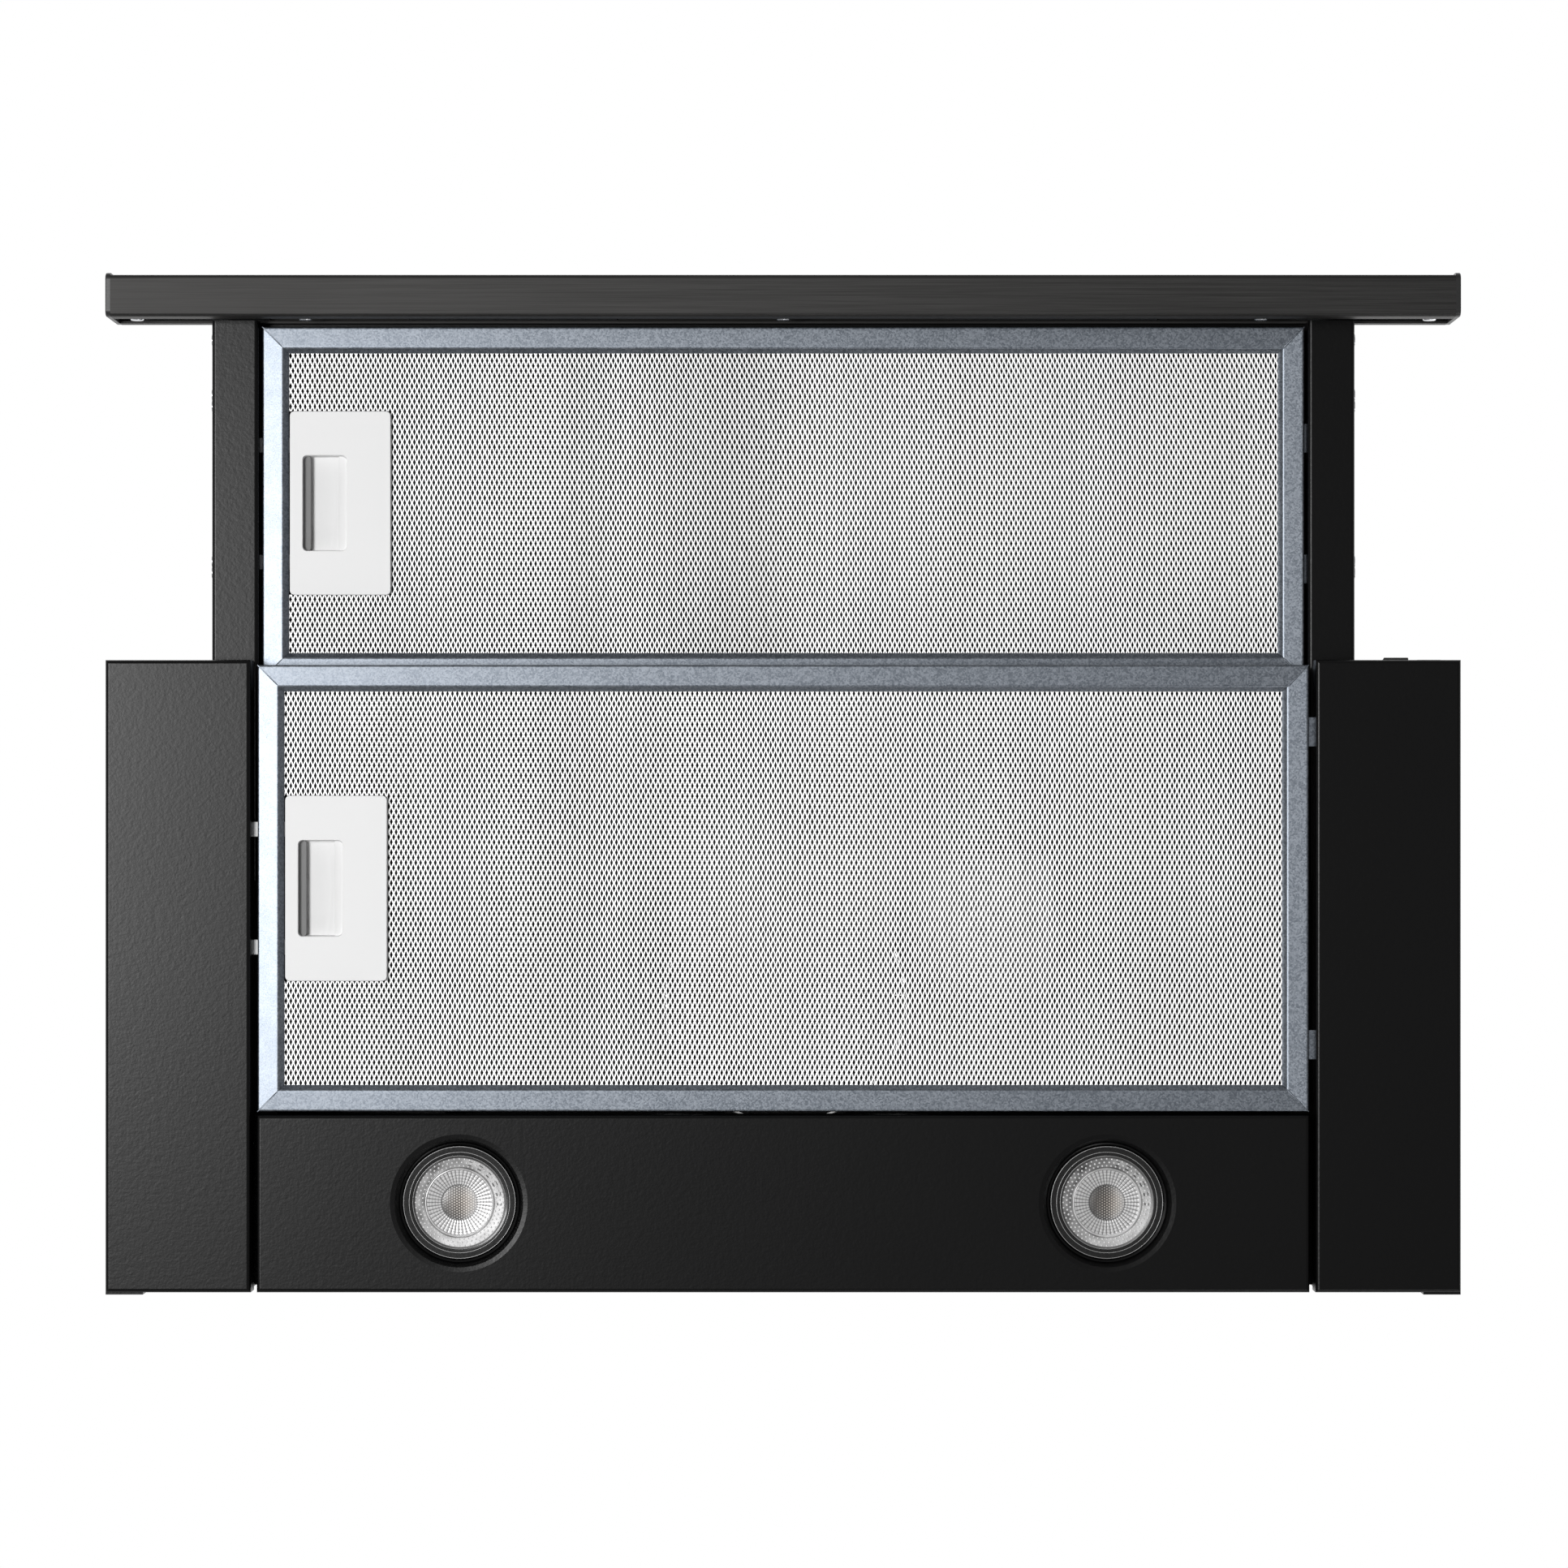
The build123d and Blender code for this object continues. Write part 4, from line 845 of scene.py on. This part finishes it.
def latch_slider(filter_name, body):
    """The sliding part behind the plate: a deep finger pocket, its curved ledge and two bolts."""
    node = filter_name + "_latch_slider"
    plate_low, plate_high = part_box(filter_name + "_latch_plate")
    low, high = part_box(node)
    base = plate_low.z - slider_sink
    behind = base + plate_face + slider_gap
    floor = base + scoop_floor
    back = plate_high.z - slider_back_gap
    left = plate_low.x + recess_margin
    right = left + recess_width
    middle = (plate_low.y + plate_high.y) / 2
    half = recess_length / 2
    front, rear = middle - half + pocket_gap, middle + half - pocket_gap
    outer_front, outer_rear = front - slider_margin, rear + slider_margin
    outer = rounded_loop(left - slider_reach, high.x, outer_front, outer_rear, plate_corner)
    loops = [(outer, back), (outer, behind)]
    for share in pocket_levels:
        taper = pocket_taper * share
        corner = plate_corner + share * mm
        loop = rounded_loop(left + taper, right - taper, front + taper, rear - taper, corner)
        loops.append((loop, behind + (floor - behind) * share))
    meshes = [stacked_loops(loops)]
    # A dark plastic block at the pocket's left wall: painted shade there.
    start, end = left - shade_block_overlap, left + shade_block_width
    shade_block = rounded_loop(start, end, front, rear, shade_block_corner)
    side = shade_block_edge / 2
    crest = rounded_loop(start, end - shade_block_edge, front + side, rear - side, shade_block_corner)
    top = behind + shade_block_sink
    block = stacked_loops([(crest, top), (shade_block, top + shade_block_edge), (shade_block, floor + floor_overlap)])
    name = node + "_stop"
    add_piece(name, joined(name, [block], moulded_angle), body, "painted_shade_plastic")
    ledge_front, ledge_rear = front + ledge_gap, rear - ledge_gap
    ledge_low, ledge_high = floor - ledge_rise, floor + floor_overlap
    start, end = left + scoop_edge, right - pocket_gap
    meshes.append(finger_ledge(start, end, ledge_front, ledge_rear, ledge_low, ledge_high))
    bolt_low = base + bolt_height
    bolt_high = bolt_low + bolt_thickness
    for offset in (-bolt_offset, bolt_offset):
        bolt_front = middle + offset - bolt_width / 2
        bolt = (low.x, high.x, bolt_front, bolt_front + bolt_width, bolt_corner)
        meshes.append(outline_solid([bolt], bolt_low, bolt_high, bolt_edge_round))
    arms = (high.x - arm_width, high.x, middle - bolt_offset, middle + bolt_offset, arm_corner)
    meshes.append(outline_solid([arms], bolt_low, bolt_high, arm_edge_round))
    name = node + "_moulded"
    mesh = joined(name, meshes, moulded_angle)
    add_piece(name, mesh, body, "slider_plastic", (node,))


spring_leaf = 0.7 * mm
spring_swing = 4.0 * mm
spring_offset = 14.0 * mm
spring_folds = 5
spring_steps = 72


def spring_path(start, end, middle):
    """The middle line of one folded spring, straight at both ends."""
    swing = spring_swing - spring_leaf / 2
    path = []
    for step in range(spring_steps + 1):
        turn = (spring_folds + 1) * step / spring_steps
        fade = min(1, turn, spring_folds + 1 - turn)
        y = middle + swing * fade * math.cos(math.pi * turn)
        path.append(Vector((start + (end - start) * step / spring_steps, y)))
    return path


def latch_spring(filter_name):
    """The two folded return springs."""
    node = filter_name + "_latch_spring"
    low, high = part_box(node)
    middle = (low.y + high.y) / 2
    half = spring_leaf / 2
    steps = spring_steps
    meshes = []
    for offset in (-spring_offset, spring_offset):
        path = spring_path(low.x + half, high.x - half, middle + offset)
        points, faces = [], []
        for step, place in enumerate(path):
            way = path[min(step + 1, steps)] - path[max(step - 1, 0)]
            side = Vector((-way.y, way.x)).normalized() * half
            for x, y in (place + side, place - side):
                points += [(x, y, low.z), (x, y, high.z)]
        for step in range(steps):
            here = 4 * step
            for a, b in ((0, 2), (2, 3), (3, 1), (1, 0)):
                faces.append((here + a, here + b, here + 4 + b, here + 4 + a))
        last = 4 * steps
        faces += [(0, 1, 3, 2), (last, last + 2, last + 3, last + 1)]
        meshes.append((points, faces))
    name = node + "_folded"
    piece = bpy.data.objects.new(name, joined(name, meshes, moulded_angle))
    bpy.context.scene.collection.objects.link(piece)
    piece.data.materials.append(materials["slider_plastic"])
    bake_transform(piece)
    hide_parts(node)


# Lamps

lamp_outer = 25.0 * mm
lamp_rim_depth = 6.0 * mm
optic_radius = 20.6 * mm
optic_sink = 0.5 * mm
optic_thickness = 1.4 * mm
optic_start = 0.02 * mm
optic_rings = 108
optic_spokes = 288
centre_radius = 7.9 * mm
centre_dome = 0.5 * mm
comb_pitch = 1.2 * mm
comb_rise = 0.03 * mm
facet_end = 14.4 * mm
facet_pitch = 1.3 * mm
facet_rise = 0.14 * mm
spoke_turns = 24
spoke_rise = 0.08 * mm
ridge_middle = 14.9 * mm
ridge_width = 0.35 * mm
ridge_rise = 0.5 * mm
rim_width = 0.4 * mm
rim_rise = 0.4 * mm
glare_angle = math.radians(38)
groove_width = 0.22 * mm
dark_lines = ((15.6 * mm, 0.2 * mm), (19.9 * mm, 0.25 * mm))
dash_rows = ((16.9 * mm, 0.3 * mm), (18.6 * mm, 0.25 * mm))
dash_angle = math.radians(40)
dark_edge = 19.7 * mm
dot_rings = (16.3 * mm, 17.8 * mm, 19.3 * mm)
dot_sizes = (0.42 * mm, 0.483 * mm, 0.42 * mm)
dot_count = 52
dot_steps = 10
dot_height = 0.8
collar_inner = 20.3 * mm
collar_ring = 22.3 * mm
shell_waist = 14.0 * mm
pin_offset = 5.0 * mm


def honeycomb(x, y, pitch):
    """A field of small domes on a triangular grid: 1 at each middle, 0 between them."""
    waves = 0
    row = pitch * math.cos(math.radians(30))
    for turn in (0, 60, 120):
        angle = math.radians(turn)
        waves = waves + np.cos(2 * math.pi * (x * math.cos(angle) + y * math.sin(angle)) / row)
    return (waves + 1.5) / 4.5


def bell(value, middle, width):
    """1 where the value is at the middle, falling softly to 0 on both sides of it."""
    return np.exp(-(((value - middle) / width) ** 2))


def optic_pattern(r, a):
    """The optic's height, its painted light and shade, and how warm it looks, at each radius and
    angle.
    """
    x, y = r * np.cos(a), r * np.sin(a)
    comb = np.clip(honeycomb(x, y, comb_pitch), 0, 1)
    in_centre = r < centre_radius
    in_facets = ~in_centre & (r < facet_end)
    step = (r - centre_radius) / facet_pitch
    tooth = step - np.floor(step)
    spokes = np.abs(np.sin(spoke_turns * a))
    ridge = bell(r, ridge_middle, ridge_width)
    dome = centre_dome * (1 - (r / centre_radius) ** 2)
    height = np.where(in_centre, dome + comb_rise * comb, 0)
    height = np.where(in_facets, facet_rise * tooth + spoke_rise * spokes, height)
    height = height + ridge_rise * ridge + rim_rise * bell(r, optic_radius, rim_width)

    # The centre has painted light, brighter on one side, and painted shade between the domes of
    # its honeycomb.
    across = x / centre_radius
    cell = np.clip(1.25 * comb - 0.1, 0, 1)
    centre = np.clip(0.6 + 0.8 * across + 0.15 * y / centre_radius, 0.12, 1)
    centre = centre * (1 - (0.45 + 0.55 * bell(across, -0.1, 0.6)) * (1 - cell))

    # The facets have painted shade in their grooves, and the outer ring a soft painted glare.
    glare = (0.5 + 0.5 * np.cos(a - glare_angle)) ** 1.4
    facets = (0.82 - 0.1 * glare) * (0.4 + 0.6 * np.sqrt(tooth)) * (0.15 + 0.9 * spokes**0.4)
    streaks = np.sin(7 * a + 1.0) * np.sin(3 * a + 2.2) * np.sin(r / (0.9 * mm))
    outer = 0.17 + 0.6 * glare + 0.16 * streaks
    shade = np.where(in_centre, centre, np.where(in_facets, facets, outer))

    # Painted shade in the groove round the centre, dark lines, a painted highlight on the ridge,
    # two rows of short dashes and a darker edge lie over these.
    shade = shade * (1 - 0.75 * bell(r, centre_radius, groove_width))
    shade = shade * (1 - 0.7 * sum(bell(r, middle, width) for middle, width in dark_lines))
    shade = shade + 0.5 * ridge
    dashes = (np.sin(23 * a) > 0.4) & (np.cos(a + dash_angle) > 0.72)
    for middle, width in dash_rows:
        shade = np.where(dashes & (np.abs(r - middle) < width), 0.04, shade)
    shade = np.where(r > dark_edge, 0.4 * shade, shade)
    warm = np.clip(0.75 - 0.6 * (r / centre_radius) ** 2, 0, 1)
    return height, np.clip(shade, 0, 1), np.where(in_centre, warm, 0.12)


def lamp_optic(side, centre):
    """The moulded optic: honeycomb middle, ring of facets, ridge and plain edge."""
    radii = np.linspace(optic_start, optic_radius, optic_rings)
    angles = np.linspace(0, 2 * math.pi, optic_spokes, endpoint=False)
    r, a = np.meshgrid(radii, angles, indexing="ij")
    height, shade, warm = optic_pattern(r, a)
    face = centre[2] + optic_sink
    x, y = centre[0] + r * np.cos(a), centre[1] + r * np.sin(a)
    points = [tuple(point) for point in np.stack([x, y, face - height], axis=-1).reshape(-1, 3)]
    points += [(*point[:2], face + optic_thickness) for point in points[-optic_spokes:]]
    faces = ring_faces(optic_rings + 1, optic_spokes) + end_faces(len(points), optic_spokes)
    name = f"lamp_optic_{side}"
    mesh = solid(name, points, faces, 25.0)
    shades = np.concatenate([shade.ravel(), np.full(optic_spokes, 0.5)])
    warms = np.concatenate([warm.ravel(), np.zeros(optic_spokes)])
    for attribute, values in (("shade", shades), ("warm", warms)):
        mesh.attributes.new(attribute, "FLOAT", "POINT")
        mesh.attributes[attribute].data.foreach_set("value", values.astype(np.float32))
    lens = f"lamp_lens_{side}"
    add_piece(name, mesh, "root", "lamp_glass", (lens,))


def lamp_dots(side, centre):
    """The rows of small bright domes round the optic."""
    arcs = [math.radians(angle) for angle in (-25, 10, 40, 65, 86)]
    meshes = []
    for row, (radius, size) in enumerate(zip(dot_rings, dot_sizes)):
        profile = [(size * math.cos(arc), -size * dot_height * math.sin(arc)) for arc in arcs]
        for step in range(dot_count):
            angle = 2 * math.pi * (step + 0.5 * (row % 2)) / dot_count
            x = centre[0] + radius * math.cos(angle)
            y = centre[1] + radius * math.sin(angle)
            dot_centre = (x, y, centre[2] + optic_sink)
            points, faces = turned(profile, dot_centre, dot_steps, closed=False)
            last = len(points) - dot_steps
            faces.append(tuple(range(dot_steps)))
            faces.append(tuple(reversed(range(last, len(points)))))
            meshes.append((points, faces))
    name = f"lamp_dots_{side}"
    add_piece(name, joined(name, meshes, 60.0), "root", "lamp_dots")


def lamp_collar(side, centre):
    """The dark collar round the optic, with its three bright edges."""
    profile = [
        (collar_inner, optic_thickness),
        (collar_inner, 0.55 * mm),
        (collar_inner + 0.5 * mm, 0.35 * mm),
        (collar_ring - 0.4 * mm, 0.36 * mm),
        (collar_ring, 0.34 * mm),
        (lamp_outer - 0.3 * mm, 0.33 * mm),
        (lamp_outer, 0.6 * mm),
        (lamp_outer, lamp_rim_depth),
        (lamp_outer - 1.0 * mm, lamp_rim_depth),
        (lamp_outer - 1.0 * mm, optic_thickness),
    ]
    body = f"lamp_body_{side}"
    name = f"lamp_collar_{side}"
    mesh = joined(name, [turned(profile, centre, 128)], 30.0)
    add_piece(name, mesh, "root", "lamp_collar", (body,))
    edges = []
    for radius, thickness, depth, steps in (
        (lamp_outer - 0.25 * mm, 0.13 * mm, 0.22 * mm, 192),
        (collar_ring, 0.12 * mm, 0.3 * mm, 128),
        (collar_inner + 0.35 * mm, 0.12 * mm, 0.38 * mm, 128),
    ):
        edges.append(bead(radius, thickness, (centre[0], centre[1], centre[2] + depth), steps))
    name = f"lamp_edges_{side}"
    add_piece(name, joined(name, edges, 60.0), "root", "lamp_edge")


def lamp_shell(side, centre):
    """The lamp's body behind its rim, narrowing to a base with two pins."""
    shell = [
        (lamp_outer - 0.02 * mm, lamp_rim_depth - 0.1 * mm),
        (lamp_outer - 0.6 * mm, lamp_rim_depth + 1.4 * mm),
        (lamp_outer - 2.0 * mm, lamp_rim_depth + 2.0 * mm),
        (shell_waist + 2.0 * mm, 32.0 * mm),
        (shell_waist, 34.0 * mm),
        (shell_waist, 47.2 * mm),
        (shell_waist - 0.8 * mm, 48.0 * mm),
        (2.0 * mm, 48.0 * mm),
        (2.0 * mm, 4.6 * mm),
        (lamp_outer - 1.5 * mm, 2.6 * mm),
    ]
    pin = [
        (2.4 * mm, 47.5 * mm),
        (2.4 * mm, 53.6 * mm),
        (1.9 * mm, 54.0 * mm),
        (0.4 * mm, 54.0 * mm),
        (0.4 * mm, 47.5 * mm),
    ]
    meshes = [turned(shell, centre)]
    for offset in (-pin_offset, pin_offset):
        meshes.append(turned(pin, (centre[0] + offset, centre[1], centre[2]), 24))
    body = f"lamp_body_{side}"
    name = f"lamp_shell_{side}"
    add_piece(name, joined(name, meshes, 30.0), "root", "lamp_body", (body,))


# Building it

for name, node in nodes.items():
    finish_name = "zinc_sheet" if name in plain_sheets else slots[name]
    node.data.materials.clear()
    node.data.materials.append(materials[finish_name])

filter_frame("rear", "rear_filter", 69.3 * mm, 1.2 * mm, 2.5 * mm)
filter_frame("front", "tray", 29.25 * mm, 0.75 * mm, 5.25 * mm)
filter_mesh("rear", "rear_filter", rear_painted_shade)
filter_mesh("front", "tray", front_painted_shade)
latch_plate("rear", "rear_filter")
latch_plate("front", "tray")
latch_slider("rear", "rear_latch")
latch_slider("front", "front_latch")
latch_spring("rear")
latch_spring("front")
for side in ("left", "right"):
    low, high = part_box(f"lamp_body_{side}")
    centre = ((low.x + high.x) / 2, (low.y + high.y) / 2, low.z)
    lamp_optic(side, centre)
    lamp_dots(side, centre)
    lamp_collar(side, centre)
    lamp_shell(side, centre)


# Studio

floor_depth = 3.0
floor_reach = 40.0
floor_glow = 0.3
middle_below = (0.0, 0.0, 0.0)
middle_above = (0.0, 0.0, 0.1)


def seen_rays(base):
    """1 for the rays of the camera, of mirrors and of glass; 0 for all others."""
    camera = base.node("ShaderNodeLightPath", {}, {}, "Is Camera Ray")
    glossy = base.node("ShaderNodeLightPath", {}, {}, "Is Glossy Ray")
    through = base.node("ShaderNodeLightPath", {}, {}, "Is Transmission Ray")
    return (camera + glossy + through).clip()


def studio_floor():
    """A plain pale floor below the mounted hood."""
    mesh = bpy.data.meshes.new("floor")
    corners = [(-1, -1), (1, -1), (1, 1), (-1, 1)]
    points = [(x * floor_reach, y * floor_reach, -floor_depth) for x, y in corners]
    mesh.from_pydata(points, [], [(0, 1, 2, 3)])
    floor = bpy.data.objects.new("floor", mesh)
    bpy.context.scene.collection.objects.link(floor)
    finish = Finish("floor", Roughness=0.9, Specular_IOR_Level=0.1)
    cloud = finish.noise(0.6)
    finish.drive("Base Color", cloud.blend(grey(0.64), grey(0.68)))
    finish.shader.inputs["Emission Strength"].default_value = floor_glow
    finish.drive("Emission Color", seen_rays(finish.base).blend(grey(0.0), grey(1.0)))
    mesh.materials.append(finish.material)


def soft_light(name, place, aim, size, power, spread=180.0):
    """A square soft light turned to a point, its light kept within an angle."""
    lamp = bpy.data.lights.new(name, "AREA")
    lamp.shape = "SQUARE"
    lamp.size = size
    lamp.energy = power
    lamp.spread = math.radians(spread)
    light = bpy.data.objects.new(name, lamp)
    light.location = place
    way = Vector(aim) - Vector(place)
    light.rotation_euler = way.to_track_quat("-Z", "Y").to_euler()
    bpy.context.scene.collection.objects.link(light)


def white_world(strength):
    """White for the camera, mirrors and glass; a plain grey level for everything else."""
    world = bpy.data.worlds.new("world")
    world.use_nodes = True
    tree = world.node_tree
    tree.nodes.clear()
    base = Field(tree)
    seen = seen_rays(base)
    level = seen + (1 - seen) * strength
    light = base.node("ShaderNodeBackground", {}, {0: grey(1.0), 1: level})
    tree.links.new(light.socket, tree.nodes.new("ShaderNodeOutputWorld").inputs[0])
    bpy.context.scene.world = world


studio_floor()
white_world(0.05)
soft_light("key_left", (-0.95, -0.1, -2.0), middle_below, 0.7, 38.0)
soft_light("rear_light", (0.5, 1.4, -0.9), middle_below, 0.5, 0.35, spread=60.0)
soft_light("top_light", (-1.2, -1.4, 2.2), middle_above, 2.4, 9.0, spread=90.0)
soft_light("back_light", (1.6, 1.8, 1.4), middle_above, 2.2, 6.0, spread=90.0)

camera = bpy.data.cameras.new("camera")
camera.lens = 114.17
camera.sensor_width = 36.0
camera.shift_x = -0.015
camera.shift_y = 0.0285
camera.clip_end = 100.0
eye = bpy.data.objects.new("camera", camera)
eye.location = (10.8 * mm, 19.95 * mm, -2.2)
eye.rotation_euler = (math.pi, 0.0, 0.0)
bpy.context.scene.collection.objects.link(eye)
bpy.context.scene.camera = eye
bpy.context.scene.view_settings.view_transform = "Standard"
